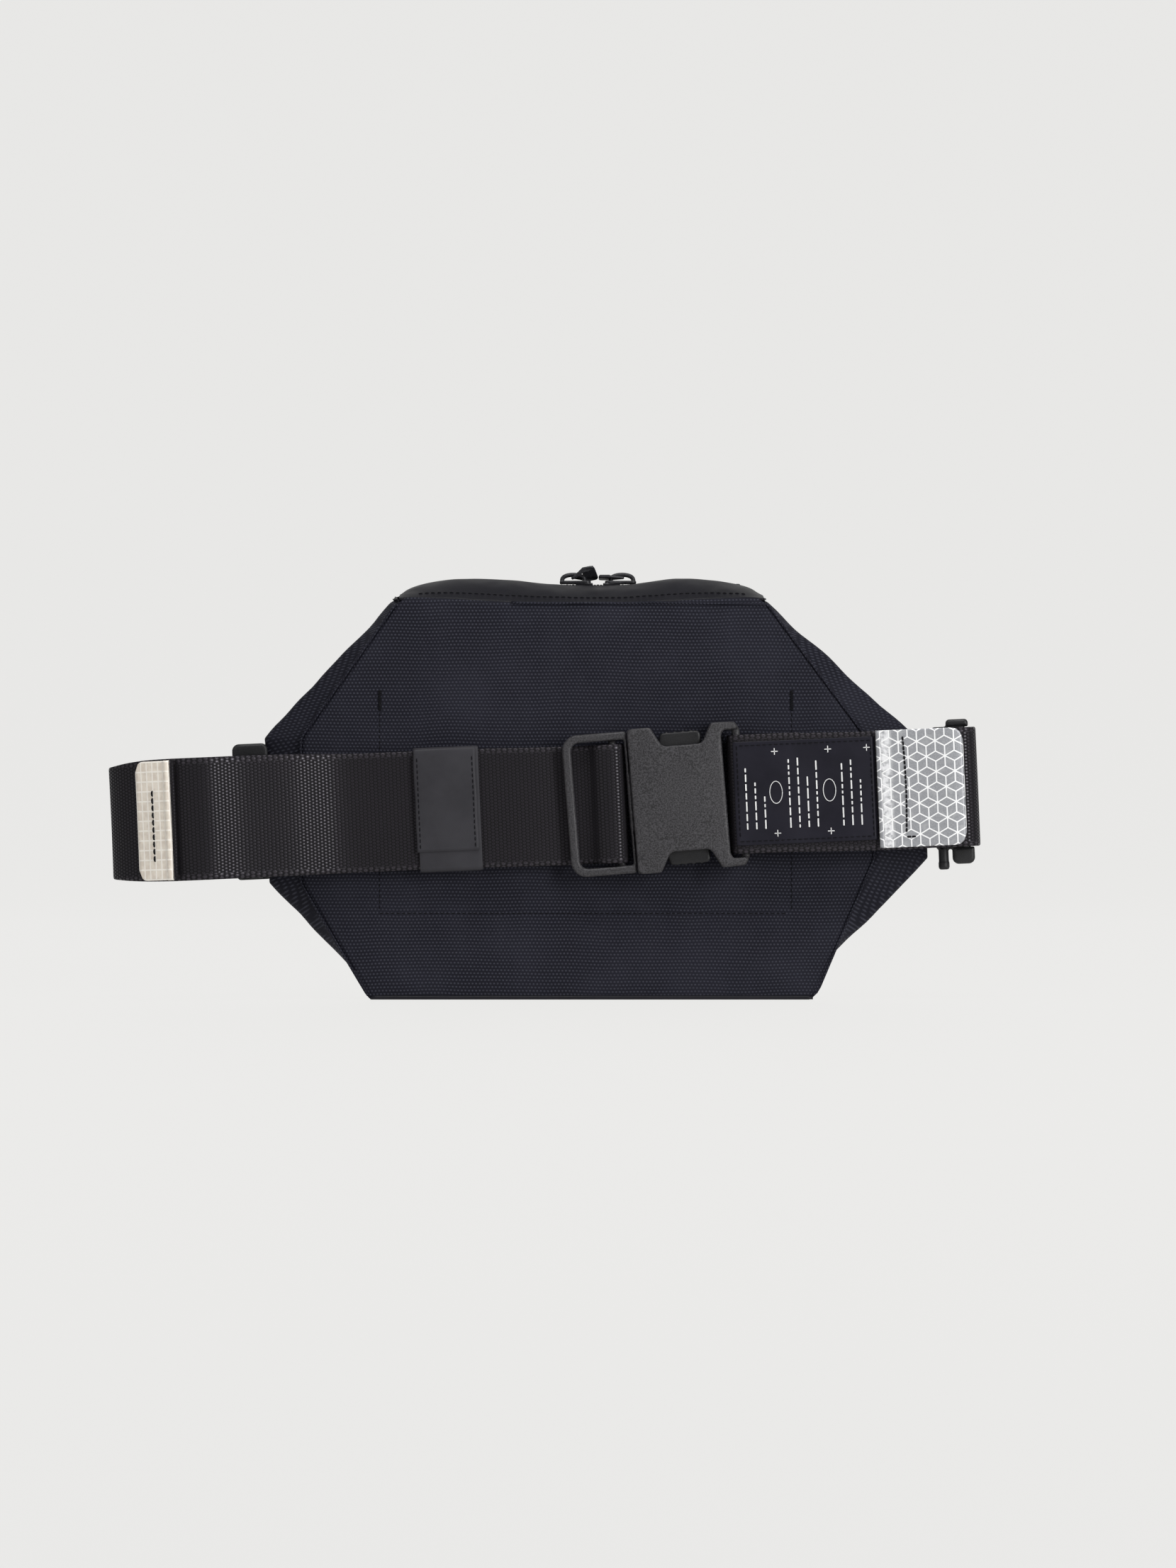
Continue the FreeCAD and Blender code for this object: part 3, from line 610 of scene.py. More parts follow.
LOOK = {
    "webbing": webbing_material(),
    "back_fabric": woven_material("back_fabric", 1.38),
    "wings": woven_material("wing_fabric", 1.3, 0.5),
    "coated": coated_material("coated_fabric", (0.0066, 0.0064, 0.0088),
                              (0.0102, 0.0099, 0.0132), 0.42, 0.56),
    "keeper": coated_material("keeper_fabric", (0.027, 0.0262, 0.03), (0.036, 0.035, 0.04),
                              0.4, 0.55),
    "lining": coated_material("lining", (0.07, 0.075, 0.08), (0.1, 0.105, 0.11), 0.6, 0.75),
    "buckle": moulded_material("buckle_plastic", (0.013, 0.0124, 0.0136),
                               (0.051, 0.0492, 0.0535), 0.42, 0.56, 1.6),
    "lock": moulded_material("lock_plastic", (0.009, 0.009, 0.0098), (0.017, 0.017, 0.0182),
                             0.38, 0.5),
    # the prongs get a darker copy of the buckle plastic: painted shade of the recess the thumb
    # pads sit in
    "prong": moulded_material("prong_plastic_painted_shade", (0.005, 0.005, 0.0056), (0.011, 0.0108, 0.012),
                              0.36, 0.5),
    "zip_metal": moulded_material("zip_metal", (0.012, 0.012, 0.014), (0.024, 0.024, 0.027),
                                  0.3, 0.46, 1.6),
    "zip_teeth": moulded_material("zip_plastic", (0.011, 0.011, 0.012), (0.02, 0.02, 0.022),
                                  0.36, 0.5),
    "zip_tape": zip_tape_material(),
    "cream": cream_tape_material(),
    "silver": silver_tape_material(),
    "label": label_material(),
    "thread": thread_material(),
    "print": coated_material("label_print", (0.55, 0.55, 0.55), (0.7, 0.7, 0.7), 0.5, 0.6),
}


# ---- bag body ----
# Samples along each edge of the eight-sided outline, from the base anticlockwise.
EDGE_SAMPLES = (44, 22, 16, 24, 44, 24, 16, 22)
CORNER_SAMPLES = 5
BACK_RADII = (6, 9, 8, 8, 9, 9, 8, 8)
CLOTH_FRAMES = 20
CLOTH = {"vertex_group_mass": "seams", "quality": 6, "mass": 0.35, "tension_stiffness": 18,
         "compression_stiffness": 18, "shear_stiffness": 8, "bending_stiffness": 1.5,
         "use_pressure": True}
MOUTH_CENTRE_X = -1.7                        # middle of the shell's open mouth


def bag_outline(part, side_x, corner_radius):
    """Matching points round the bag at one depth; every depth gives the same count."""
    (left_low, left_high), (right_low, right_high) = WING_Z
    base, top = BASE_X[part], TOP_X[part]
    lean = WING_LEAN if part == "wing" else 0.0
    corners = [Vector(corner) for corner in (
        (base[0], 0), (base[1], 0), (side_x[1], right_low), (side_x[1], right_high),
        (top[1], TOP_Z), (top[0], TOP_Z), (side_x[0] - lean, left_high), (side_x[0], left_low))]
    arcs = []
    for index, corner in enumerate(corners):
        before = corners[index - 1] - corner
        after = corners[(index + 1) % 8] - corner
        reach = corner_radius[index] / math.tan(before.angle(after) / 2)
        start = corner + before.normalized() * reach
        end = corner + after.normalized() * reach
        arcs.append([start.lerp(corner, share).lerp(corner.lerp(end, share), share)
                     for share in shares(CORNER_SAMPLES)])
    points = []
    for index, count in enumerate(EDGE_SAMPLES):
        points += arcs[index]
        points += [arcs[index][-1].lerp(arcs[(index + 1) % 8][0], number / count)
                   for number in range(1, count)]
    return np.array([tuple(point) for point in points])


def blend_sections(sections, depths, levels):
    """Outlines at each level's depth, on a smooth curve through the given sections."""
    result = []
    for level in levels:
        upper = next(i for i in range(1, len(depths)) if depths[i] >= level - 1e-9)
        lower = upper - 1
        share = (level - depths[lower]) / (depths[upper] - depths[lower])
        p0 = sections[max(lower - 1, 0)]
        p1, p2 = sections[lower], sections[upper]
        p3 = sections[min(upper + 1, len(sections) - 1)]
        tangent1 = (p2 - p0) * 0.28 if lower else (p2 - p1) * 0.6
        tangent2 = (p3 - p1) * 0.28 if upper < len(sections) - 1 else (p2 - p1) * 0.6
        s2, s3 = share * share, share ** 3
        result.append(p1 * (2 * s3 - 3 * s2 + 1) + tangent1 * (s3 - 2 * s2 + share)
                      + p2 * (3 * s2 - 2 * s3) + tangent2 * (s3 - s2))
    return result


def ripple(point, size, seed):
    """Soft uneven waves of cloth, in millimetres."""
    return noise.noise(Vector(point) / size + Vector((seed, seed * 0.7, -seed)))


def inflate(piece, pinned, pressure, cap):
    """Puff a cloth skin with pressure while its seams stay put, and keep the result."""
    before = np.empty(len(piece.data.vertices) * 3)
    piece.data.vertices.foreach_get("co", before)
    group = piece.vertex_groups.new(name="seams")
    for index, weight in pinned.items():
        group.add([index], weight, "REPLACE")
    cloth = piece.modifiers.new("cloth", "CLOTH")
    for key, value in {**CLOTH, "uniform_pressure_force": pressure}.items():
        setattr(cloth.settings, key, value)
    cloth.settings.effector_weights.gravity = 0
    cloth.collision_settings.use_collision = False
    cloth.collision_settings.use_self_collision = False
    scene = bpy.context.scene
    scene.frame_start, scene.frame_end = 1, CLOTH_FRAMES
    for number in range(1, CLOTH_FRAMES + 1):
        scene.frame_set(number)
    graph = bpy.context.evaluated_depsgraph_get()
    settled = piece.evaluated_get(graph).data
    after = np.empty(len(settled.vertices) * 3)
    settled.vertices.foreach_get("co", after)
    piece.modifiers.clear()
    piece.vertex_groups.clear()
    scene.frame_set(1)
    move = (after - before).reshape(-1, 3)
    length = np.linalg.norm(move, axis=1, keepdims=True)
    limit = cap * MM
    move *= np.where(length > limit, limit / np.maximum(length, 1e-9), 1.0)
    piece.data.vertices.foreach_set("co", (before.reshape(-1, 3) + move).ravel())
    piece.data.update()


def thicken(piece, thickness):
    """Give a cloth skin its thickness on its inner side."""
    solid = piece.modifiers.new("thickness", "SOLIDIFY")
    solid.thickness = thickness * MM
    solid.offset = -1
    solid.use_even_offset = True
    solid.use_rim = True
    return apply_modifiers(piece)


def sheet(name, points, rows, outward, thickness, look=None):
    """A cloth sheet from rows of points; its thickness goes away from the outward side."""
    faces = grid_faces(rows, len(points) // rows)
    piece = add_object(name, mesh_from(name, points, faces), LOOK.get(look))
    if sum(polygon.normal.dot(outward) for polygon in piece.data.polygons) < 0:
        piece.data.flip_normals()
    return thicken(piece, thickness)


def shrunk(outline, centre, share):
    """An outline drawn towards a centre."""
    centre = np.array(centre)
    return [centre + (np.array(point) - centre) * share for point in outline]


def make_bag_shell():
    """Wings, front and base as one sewn skin that is open at the mouth and at the back."""
    sections = [bag_outline("back", BACK_SEAM_X, BACK_RADII),
                bag_outline("wing", (TIP_X[0] - 1.6, TIP_X[1]), (3, 3, 1.5, 1.5, 5, 5, 1.5, 1.5)),
                bag_outline("wing", (-121.0, 127.0), (8, 8, 10, 10, 7, 7, 10, 10)),
                bag_outline("front", FRONT_SEAM_X, (14, 14, 16, 16, 10, 10, 16, 16))]
    levels = [*np.linspace(BACK_Y, WING_Y, 7), *np.linspace(WING_Y, FRONT_Y, 26)[1:]]
    rings = blend_sections(sections, [BACK_Y, WING_Y, 0.0, FRONT_Y], levels)
    count = len(rings[0])
    points, pinned = [], {}
    for ring, level in zip(rings, levels):
        for x, z in ring:
            seam = level < BACK_Y + 0.5 or z < 1.5 or z > TOP_Z - 1.5
            tip = abs(level - WING_Y) < 2 and (x < TIP_X[0] + 8 or x > TIP_X[1] - 8)
            pinned[len(points)] = 1.0 if seam or tip else 0.0
            points.append((x, level, max(z, 0.0)))
    front_rings = 21
    for k in range(1, front_rings + 1):
        share = 1 - k / (front_rings + 1)
        depth = FRONT_Y + 5.5 * (1 - share ** 3.0)
        points += [(x, depth, z) for x, z in shrunk(rings[-1], (0.0, 78.0), share)]
    faces = grid_faces(len(rings) + front_rings, count, wrap_columns=True)
    faces.append(tuple(range(len(points) - count, len(points))))

    def in_mouth(face):
        middle = sum((Vector(points[index]) for index in face), Vector()) / len(face)
        return middle.z > TOP_Z - 0.7 and middle.y < FRONT_Y \
            and abs(middle.x - MOUTH_CENTRE_X) < 73 - middle.y * 0.12

    kept = [face for face in faces if not in_mouth(face)]
    piece = add_object("bag_shell", mesh_from("bag_shell", points, kept), LOOK["wings"])
    fix_normals(piece.data)
    outward = piece.data.polygons[0]
    if outward.normal.dot(outward.center - Vector((0, 0, 0.08))) < 0:
        piece.data.flip_normals()
    inflate(piece, pinned, 3.0, 5.0)
    for vertex in piece.data.vertices:
        point = vertex.co / MM
        free = smoothstep((point.y - BACK_Y) / 10) * smoothstep(point.z / 12) \
            * smoothstep((TOP_Z - point.z) / 12)
        wave = 1.5 * ripple(point, 26.0, 3.1) + 0.6 * ripple(point, 11.0, 8.3)
        vertex.co += vertex.normal * wave * free * MM
    for vertex in piece.data.vertices:
        vertex.co.z = max(vertex.co.z, 0.0)
    thicken(piece, 1.2)
    settle(piece, "root", "coated_fabric", "front_panel", "side_panel_left",
           "side_panel_right", "bottom_panel")


def back_outline():
    """The back panel's edge; its top follows the hanging seam of the band."""
    outline = bag_outline("back", BACK_SEAM_X, BACK_RADII)
    return [(x, z + (0.9 - seam_sag(x) if z > TOP_Z - 0.5 else 0.0)) for x, z in outline]


def back_surface(x, z):
    """Depth of the back panel's outer face: nearly flat, with a few lazy waves."""
    wave = 0.9 * ripple((x, 0, z), 48.0, 1.7) + 0.35 * ripple((x, 0, z * 0.6), 17.0, 5.1)
    return BACK_Y - 0.5 + wave


def make_back_panel():
    outline = [(x, z - 0.9 * smoothstep((6 - z) / 6)) for x, z in back_outline()]
    steps = 44
    points = []
    for step in range(steps):
        share = 1 - step / steps
        free = smoothstep((1 - share) * 9)
        points += [(x, BACK_Y + (back_surface(x, z) - BACK_Y) * free, z)
                   for x, z in shrunk(outline, (0.5, 82.0), share)]
    faces = grid_faces(steps, len(outline), wrap_columns=True)
    faces.append(tuple(range(len(points) - len(outline), len(points))))
    piece = add_object("back_cloth", mesh_from("back_cloth", points, faces), LOOK["back_fabric"])
    fix_normals(piece.data)
    if piece.data.polygons[0].normal.y > 0:
        piece.data.flip_normals()
    thicken(piece, 1.3)
    settle(piece, "root", "back_fabric", "back_panel")


def make_seam_cord():
    """The narrow turned edge where the back panel is sewn to the wings."""
    path = [(x, BACK_Y - 0.2, z) for x, z in back_outline() if 1.2 < z < TOP_Z - 1.0]

    def widest_gap():
        return max(range(len(path) - 1),
                   key=lambda i: (Vector(path[i + 1]) - Vector(path[i])).length) + 1

    split = widest_gap()
    path = path[split:] + path[:split]
    gap = widest_gap()
    cords = [tube(path[:gap], 0.55, 8), tube(path[gap:], 0.55, 8)]
    settle(join("seam_cord", cords, LOOK["wings"]), "root", "coated_fabric")


def make_bottom_piping():
    path = [(x, -31.5, 0.95 + 0.1 * ripple((x, 0, 0), 9.0, 2.0))
            for x in np.linspace(PIPING[0][0], PIPING[1][0], 90)]
    piece = tube(path, 1.0, 12, squash=0.7, name="bottom_cord", material=LOOK["coated"])
    settle(piece, "root", "coated_fabric", "bottom_piping")


# Places along the bands and how far their top edge rises there above the back panel.
CREST_X = (-79.5, -78.2, -76, -72, -66, -57, -45, -30, -18, -8, 5, 18, 26, 36, 46, 56, 64, 70,
           72.5, 74.5)
CREST_RISE = (0.6, 2.8, 4.6, 6.3, 7.9, 9.2, 9.5, 8.8, 7.4, 6.8, 6.6, 6.9, 8.0, 9.5, 9.5, 8.5,
              7.2, 5.4, 3.6, 1.2)


def crest_height(x):
    """Top edge of the bands beside the zip: two low humps with rounded ends."""
    near = [np.interp(x + step, CREST_X, CREST_RISE) for step in (-2.4, -1.2, 0, 1.2, 2.4)]
    return TOP_Z + 0.2 + float(np.mean(near))


def seam_sag(x):
    """How far the back band's seam hangs below the panel's corners."""
    return 2.3 * smoothstep((72 - abs(x + 2)) / 55)


def band_point(x, share, side):
    """A point on a band: share 0 at the sewn edge, 1 beside the zip; side -1 is the back."""
    sewn_y = BACK_Y if side < 0 else FRONT_Y + 0.6
    narrow = 1.0 if side < 0 else 1 - 0.1 * (1 - share)
    foot = TOP_Z - 0.2 + (0.9 - seam_sag(x) if side < 0 else 0.0)
    ridge = math.sin(share * math.pi)
    y = sewn_y * (1 - share) + side * 7.6 * share
    z = foot + (crest_height(x) - foot) * math.sin(share * math.pi / 2)
    z += (0.35 * ripple((x, y, z), 12.0, 4.0) + 0.3 * ripple((x, y, z), 6.0, 9.0)) * ridge
    return x * narrow, y + side * 0.9 * ridge, z


def band_mesh(name, side, low, high):
    """A band, with its edge beside the zip turned down."""
    xs = np.linspace(low, high, int((high - low) / 1.1))
    rows = 16
    points = [band_point(x, share, side) for share in shares(rows) for x in xs]
    crest = points[-len(xs):]
    for row, inset in ((1, 0.35), (2, 0.1), (3, 0.1)):
        points += [(x, y - side * inset, z - 0.7 * row) for x, y, z in crest]
    return sheet(name, points, rows + 3, UP, 1.1, "coated")


def open_with_lip(piece, side):
    """Bake a half of the front lip's placement into its mesh; the lip is not parted."""
    start, end = side * 64.0, MOUTH_MIDDLE + side * 12.0
    start * MM
    end * MM
    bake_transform(piece)


def make_bands():
    settle(band_mesh("band_back", -1, *BAND_X), "root", "coated_fabric", "top_band_back")
    for index, side, name in SIDES:
        low, high = sorted((MOUTH_MIDDLE, FRONT_BAND_X[index]))
        piece = band_mesh("band_front_" + name, 1, low, high)
        open_with_lip(piece, side)
        settle(piece, None, "coated_fabric", "top_band_front")


def make_zip_ends():
    """Cloth that closes the top of the bag between the ends of the two bands."""
    rows, columns = 12, 24
    for index, side, name in SIDES:
        back_x, front_x = BAND_X[index], FRONT_BAND_X[index]
        edge_x = [TOP_X[part][index] for part in ("back", "wing", "front")]
        gusset, tab = [], []
        for share in shares(rows):
            start = Vector(band_point(back_x, share, -1))
            end = Vector(band_point(front_x, share, 1))
            for across in shares(columns):
                point = start.lerp(end, across)
                edge = np.interp(point.y, (BACK_Y, WING_Y, FRONT_Y), edge_x) * 0.995
                point.x += (edge - point.x) * (1 - share) ** 2
                point.z -= 0.5 + 0.3 * (1 - share)
                gusset.append(point)
                x = (back_x * (1 - across) + front_x * across) * (1 - share) \
                    + side * 63.0 * share
                tab.append((x, -7.4 + 14.8 * across, crest_height(x) - 0.6 - 0.4 * share))
        pieces = [sheet("zip_end", points, rows, UP, 0.9) for points in (gusset, tab)]
        settle(join("zip_end_" + name, pieces, LOOK["coated"]), "root", "coated_fabric")


# ---- stitching ----
# Share of a stitch's length, lift and width of the thread there.
STITCH_PROFILE = ((0.0, -0.6, 0.35), (0.14, 0.25, 0.85), (0.5, 0.62, 1.0), (0.86, 0.25, 0.85),
                  (1.0, -0.6, 0.35))
STITCH_SIDES = 6


def stitch(start, end, normal, radius):
    """One short thread hump, as (vertices, faces); it starts and ends in the cloth."""
    across = (end - start).normalized().cross(normal).normalized()
    vertices = []
    for share, lift, width in STITCH_PROFILE:
        centre = start.lerp(end, share) + normal * (lift * radius)
        vertices += [centre + (across * math.cos(a) + normal * math.sin(a)) * (radius * width)
                     for a in (math.tau * turn / STITCH_SIDES for turn in range(STITCH_SIDES))]
    return vertices, closed_tube_faces(len(STITCH_PROFILE), STITCH_SIDES)


def stitch_line(path, pitch, radius, fill=0.72, normal=OUT):
    """Stitches along a path of points in millimetres."""
    path = [Vector(point) for point in path]
    lengths = run_lengths(path)

    ends = ([point_at(path, lengths, pitch * (number + part)) for part in (0, fill)]
            for number in range(int(lengths[-1] / pitch)))
    return [stitch(start, end, normal, radius) for start, end in ends]


def combined(name, parts, look):
    """One piece out of many small (vertices, faces) parts."""
    vertices, faces = [], []
    for part_vertices, part_faces in parts:
        first = len(vertices)
        vertices += part_vertices
        faces += [tuple(index + first for index in face) for face in part_faces]
    piece = add_object(name, mesh_from(name, vertices, faces), LOOK[look])
    fix_normals(piece.data)
    return piece


def stitch_piece(name, stitches, body="root", *nodes):
    settle(combined(name, stitches, "thread"), body, "thread", *nodes)


def make_bag_stitches():
    """Seams that show on the back: the sewn pocket and the band, with bar tacks at the pocket's
    top.
    """
    x_out, top, low = POCKET[1][0], POCKET[1][2], POCKET[0][2]
    runs = [[(x, z) for z in np.linspace(top, low, 60)] for x in (-x_out, x_out)]
    runs.append([(x, low) for x in np.linspace(-x_out, x_out, 90)])
    stitches = []
    for run in runs:
        stitches += stitch_line([(x, back_surface(x, z), z) for x, z in run], 2.3, 0.2)
    band = [band_point(x, 0.2, -1) for x in np.linspace(-70, 70, 140)]
    stitches += stitch_line(band, 2.6, 0.3, normal=Vector((0, -0.5, 0.86)))
    stitch_piece("bag_stitches", stitches)

    tacks = []
    for x in (-x_out, x_out):
        for number in range(16):
            z = top - 8.0 + number * 0.52
            lean = 0.25 if number % 2 else -0.25
            y = back_surface(x, z)
            tacks.append(stitch(Vector((x - 0.9, y, z - lean)), Vector((x + 0.9, y, z + lean)),
                                OUT, 0.3))
    stitch_piece("bar_tacks", tacks, "root", "pocket_bar_tacks")


def make_inner_pocket():
    """A thin lining pocket sewn to the inside of the back panel, open at its top."""
    (x0, y0, z0), (x1, _, z1) = POCKET
    columns, rows = 60, 34
    points = []
    for up in shares(rows):
        z = z0 + (z1 - z0) * up
        for across in shares(columns):
            x = x0 + (x1 - x0) * across
            free = smoothstep(min(x - x0, x1 - x, z - z0) / 14)
            sag = 1.6 + 0.9 * ripple((x, 0, z), 30.0, 6.6) + 0.8 * up
            points.append((x, y0 + 0.5 + sag * free, z))
    cloth = sheet("pocket_cloth", points, rows, -OUT, 0.5, "lining")
    hem = tube([(x, y0 + 3.2 + 0.5 * ripple((x, 0, z1), 30.0, 6.6), z1 - 0.8)
                for x in np.linspace(x0 + 8, x1 - 8, 60)],
               0.9, 8, squash=1.6, name="pocket_hem", material=LOOK["lining"])
    settle(cloth, "root", "lining", "inner_pocket")
    settle(hem, "root", "lining")


# ---- webbing ----
ROUND_EDGE = (-1.0, -0.985, -0.955)


def ribbon(name, path, half_width, thickness, look, offset=0.0, place=on_belt, centre=0.0,
           crown=0.0, seed=1.0):
    """A closed strap along a path in plan, with soft edges and UVs in millimetres.

    half_width, thickness and centre may be numbers or functions of the distance along."""
    path = [Vector((point[0], point[1])) for point in path]
    across = 16
    spots = [*ROUND_EDGE, *(-0.9 + 1.8 * share for share in shares(across)),
             *(-spot for spot in reversed(ROUND_EDGE))]
    points, lay = [], []
    for index, (point, distance) in enumerate(zip(path, run_lengths(path))):
        ahead = path[min(index + 1, len(path) - 1)] - path[max(index - 1, 0)]
        ahead.normalize()
        left = Vector((-ahead.y, ahead.x))
        half, thick, middle = (value(distance) if callable(value) else value
                               for value in (half_width, thickness, centre))
        waver = 0.18 * noise.noise(Vector((distance / 23.0, seed, 0)))
        for side in (1, -1):
            for spot in spots[::side]:
                edge = min(1.0, (1 - abs(spot)) / 0.045)
                lift = offset + crown * (1 - spot * spot) + side * thick / 2 \
                    * (0.35 + 0.65 * math.sqrt(max(0.0, 1 - (1 - edge) ** 2)))
                flat = point + left * lift
                points.append(place(flat.x, flat.y, middle + spot * (half + waver)))
                lay.append((distance, spot * half))
    mesh = mesh_from(name, points, closed_tube_faces(len(path), 2 * len(spots)))
    layer = mesh.uv_layers.new(name="lay")
    for loop in mesh.loops:
        layer.data[loop.index].uv = lay[loop.vertex_index]
    fix_normals(mesh)
    return add_object(name, mesh, LOOK[look])


def cut_path(path, start, end):
    """The stretch of a path between two distances from its first point."""
    return [point for point, travelled in zip(path[:-1], run_lengths(path))
            if start <= travelled <= end]


def corner_cut(distance, radius):
    """How much a tab's rounded end narrows it, at a distance from that end."""
    inner = max(0.0, radius - distance)
    return radius - math.sqrt(max(0.0, radius ** 2 - inner ** 2))


LEFT_ROUTE = [(-24, -34.5), (-8, -34.3), (8, -34.4), (13.4, -34.9), (15.7, -36.2), (16.3, -38.1),
              (15.7, -40.4), (13.2, -41.9), (9.4, -42.0), (5.6, -40.3), (3.4, -37.8), (0.8, -36.5),
              (-5, -36.3), (-12, -36.6), (-22, -37.4), (-40, -37.7), (-60, -37.7), (-80, -37.6),
              (-92, -37.9), (-99, -38.5), (-104, -39.6), (-108, -41.1), (-112, -42.9),
              (-116, -44.8), (-120, -46.4), (-126, -48.2), (-134, -50.2), (-142, -52.4),
              (-147, -54.4), (-151, -56.4), (-154.5, -57.9), (-158, -58.5), (-163, -57.8),
              (-168, -55.6), (-175, -51.2), (-186, -43.0),
              (-194.0, -35.0), (-193.0, -28.8), (-184, -25.9), (-168, -25.3), (-152, -25.4),
              (-141.4, -25.4), (-138.7, -24.8), (-137.9, -23.0), (-138.7, -21.2),
              (-141.4, -20.6), (-153, -20.7), (-168, -21.6), (-184, -22.6), (-195.6, -26.0),
              (-197.5, -33.6), (-193.0, -40.6), (-184.2, -47.4), (-176, -53.6), (-169.4, -58.0)]
RIGHT_ROUTE = [(90, -41.0), (80, -40.9), (73, -38.2), (67, -35.6), (62.4, -36.0), (60.2, -39.0),
               (61.6, -41.9), (66, -42.7), (80, -42.7), (100, -42.7), (120, -42.6), (140, -42.6),
               (151, -42.6), (157.6, -40.6), (160.7, -36), (160.8, -31), (158.0, -27),
               (154, -25.5), (152.0, -24.9), (151.1, -23), (152.0, -21.1), (154.5, -20.6),
               (159.6, -20.9), (162.4, -24.0), (162.9, -31), (162.6, -39), (160.3, -43.2),
               (155.5, -44.5), (140, -44.5), (121.5, -44.5)]
RIGHT_TAB_X = 121.5                          # where the right tail ends, along the belt


def route(points, step):
    """A smooth path through (along, depth) points, and its length."""
    path = smooth_path([(*point, 0) for point in points], step)
    return path, run_lengths(path)[-1]


def make_left_strap():
    path, total = route(LEFT_ROUTE, 1.5)

    def drift(distance):
        """Sideways slip: it follows the more tilted buckle, then sinks in the loop."""
        sink = 0.5 * math.exp(-((distance - total + 40) / 16) ** 2)
        lean = -0.75 * (1 - smoothstep((distance - 66) / 60))
        return lean + 0.6 * smoothstep((distance - 150) / 50) - sink

    def strap_half(distance):
        full = WEB_HALF + 0.55 * smoothstep((distance - 150) / 50)
        return full - sum(2.1 * math.exp(-((distance - total + turn) / 16) ** 2)
                          for turn in (40, 162))

    strap = ribbon("strap_left_web", path, strap_half, WEB, "webbing", crown=0.12, centre=drift,
                   seed=2.0)
    tuple(on_belt(-128, -37, 0) * MM)
    tuple(on_belt(-16, -37, 0) * MM)
    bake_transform(strap)
    settle(strap, None, "webbing", "strap_left")
    tab_path = cut_path(path, total - 19.6, total + 1)
    tab = ribbon("tab_left", tab_path, lambda d: WEB_HALF - 0.1 - corner_cut(d, 4.0), 0.55,
                 "cream", offset=-0.98, centre=0.5, crown=0.1, seed=3.0)
    settle(tab, "root", "reflective_cream", "reflective_tab_left")
    fold = ribbon("tab_left_fold", tab_path[-3:], WEB_HALF + 0.05, 3.0, "cream", centre=0.5,
                  seed=3.5)
    settle(fold, "root", "reflective_cream")
    seam_at, near = tab_path[len(tab_path) // 2:][:2]
    ahead = (near - seam_at).normalized()
    normal = Vector((ahead.y, -ahead.x, 0))
    over = seam_at + normal * 1.35
    run = [on_belt(over.x, over.y, z) for z in np.linspace(-16.5, 15.5, 40)]
    stitch_piece("tab_left_stitches", stitch_line(run, 3.0, 0.44, 0.85, normal))


def make_right_strap():
    path, total = route(RIGHT_ROUTE, 1.2)
    strap = ribbon("strap_right_web", path, WEB_HALF, WEB, "webbing", crown=0.08,
                   centre=lambda d: 0.9 * (1 - smoothstep((d - 45) / 50)), seed=5.0)
    settle(strap, "root", "webbing", "strap_right")
    tab = ribbon("tab_right", cut_path(path, total - 37.0, total + 1),
                 lambda d: WEB_HALF - 0.35 - corner_cut(d, 5.0), 0.5, "silver", offset=0.95,
                 centre=0.45, crown=0.12, seed=6.0)
    settle(tab, "root", "reflective_silver", "reflective_tab_right")
    fold = ribbon("tab_right_fold", [(RIGHT_TAB_X + x, -44.5) for x in (1.6, 0.8, -0.1)],
                  WEB_HALF - 0.2, lambda d: 3.0 - 0.7 * d, "silver", centre=0.45, seed=6.5)
    settle(fold, "root", "reflective_silver")
    run = [on_belt(RIGHT_TAB_X + 11.0 + 0.6 * math.sin((22.0 - z) / 13), -45.85, z)
           for z in np.linspace(22.0, -19.5, 40)]
    foot = [on_belt(RIGHT_TAB_X + 11.1 + x, -45.85, -19.7) for x in np.linspace(0, 5.0, 5)]
    stitch_piece("tab_right_stitches",
                 stitch_line(run, 2.0, 0.42, 0.9) + stitch_line(foot, 2.0, 0.42, 0.9))


# Columns of dashes on the label: place along the belt and height where the column ends.
DASH_COLUMNS = ((66.5, 9), (70.3, 4), (74.1, -3), (84.5, 12), (88.3, 13), (92.1, 6), (95.9, 13),
                (106.5, 11), (110.3, 12), (114.1, 3))
PLUS_MARKS = ((79.2, -17.0), (79.2, 17.0), (101.4, -17.0), (101.4, 17.0), (117.5, 17.0))


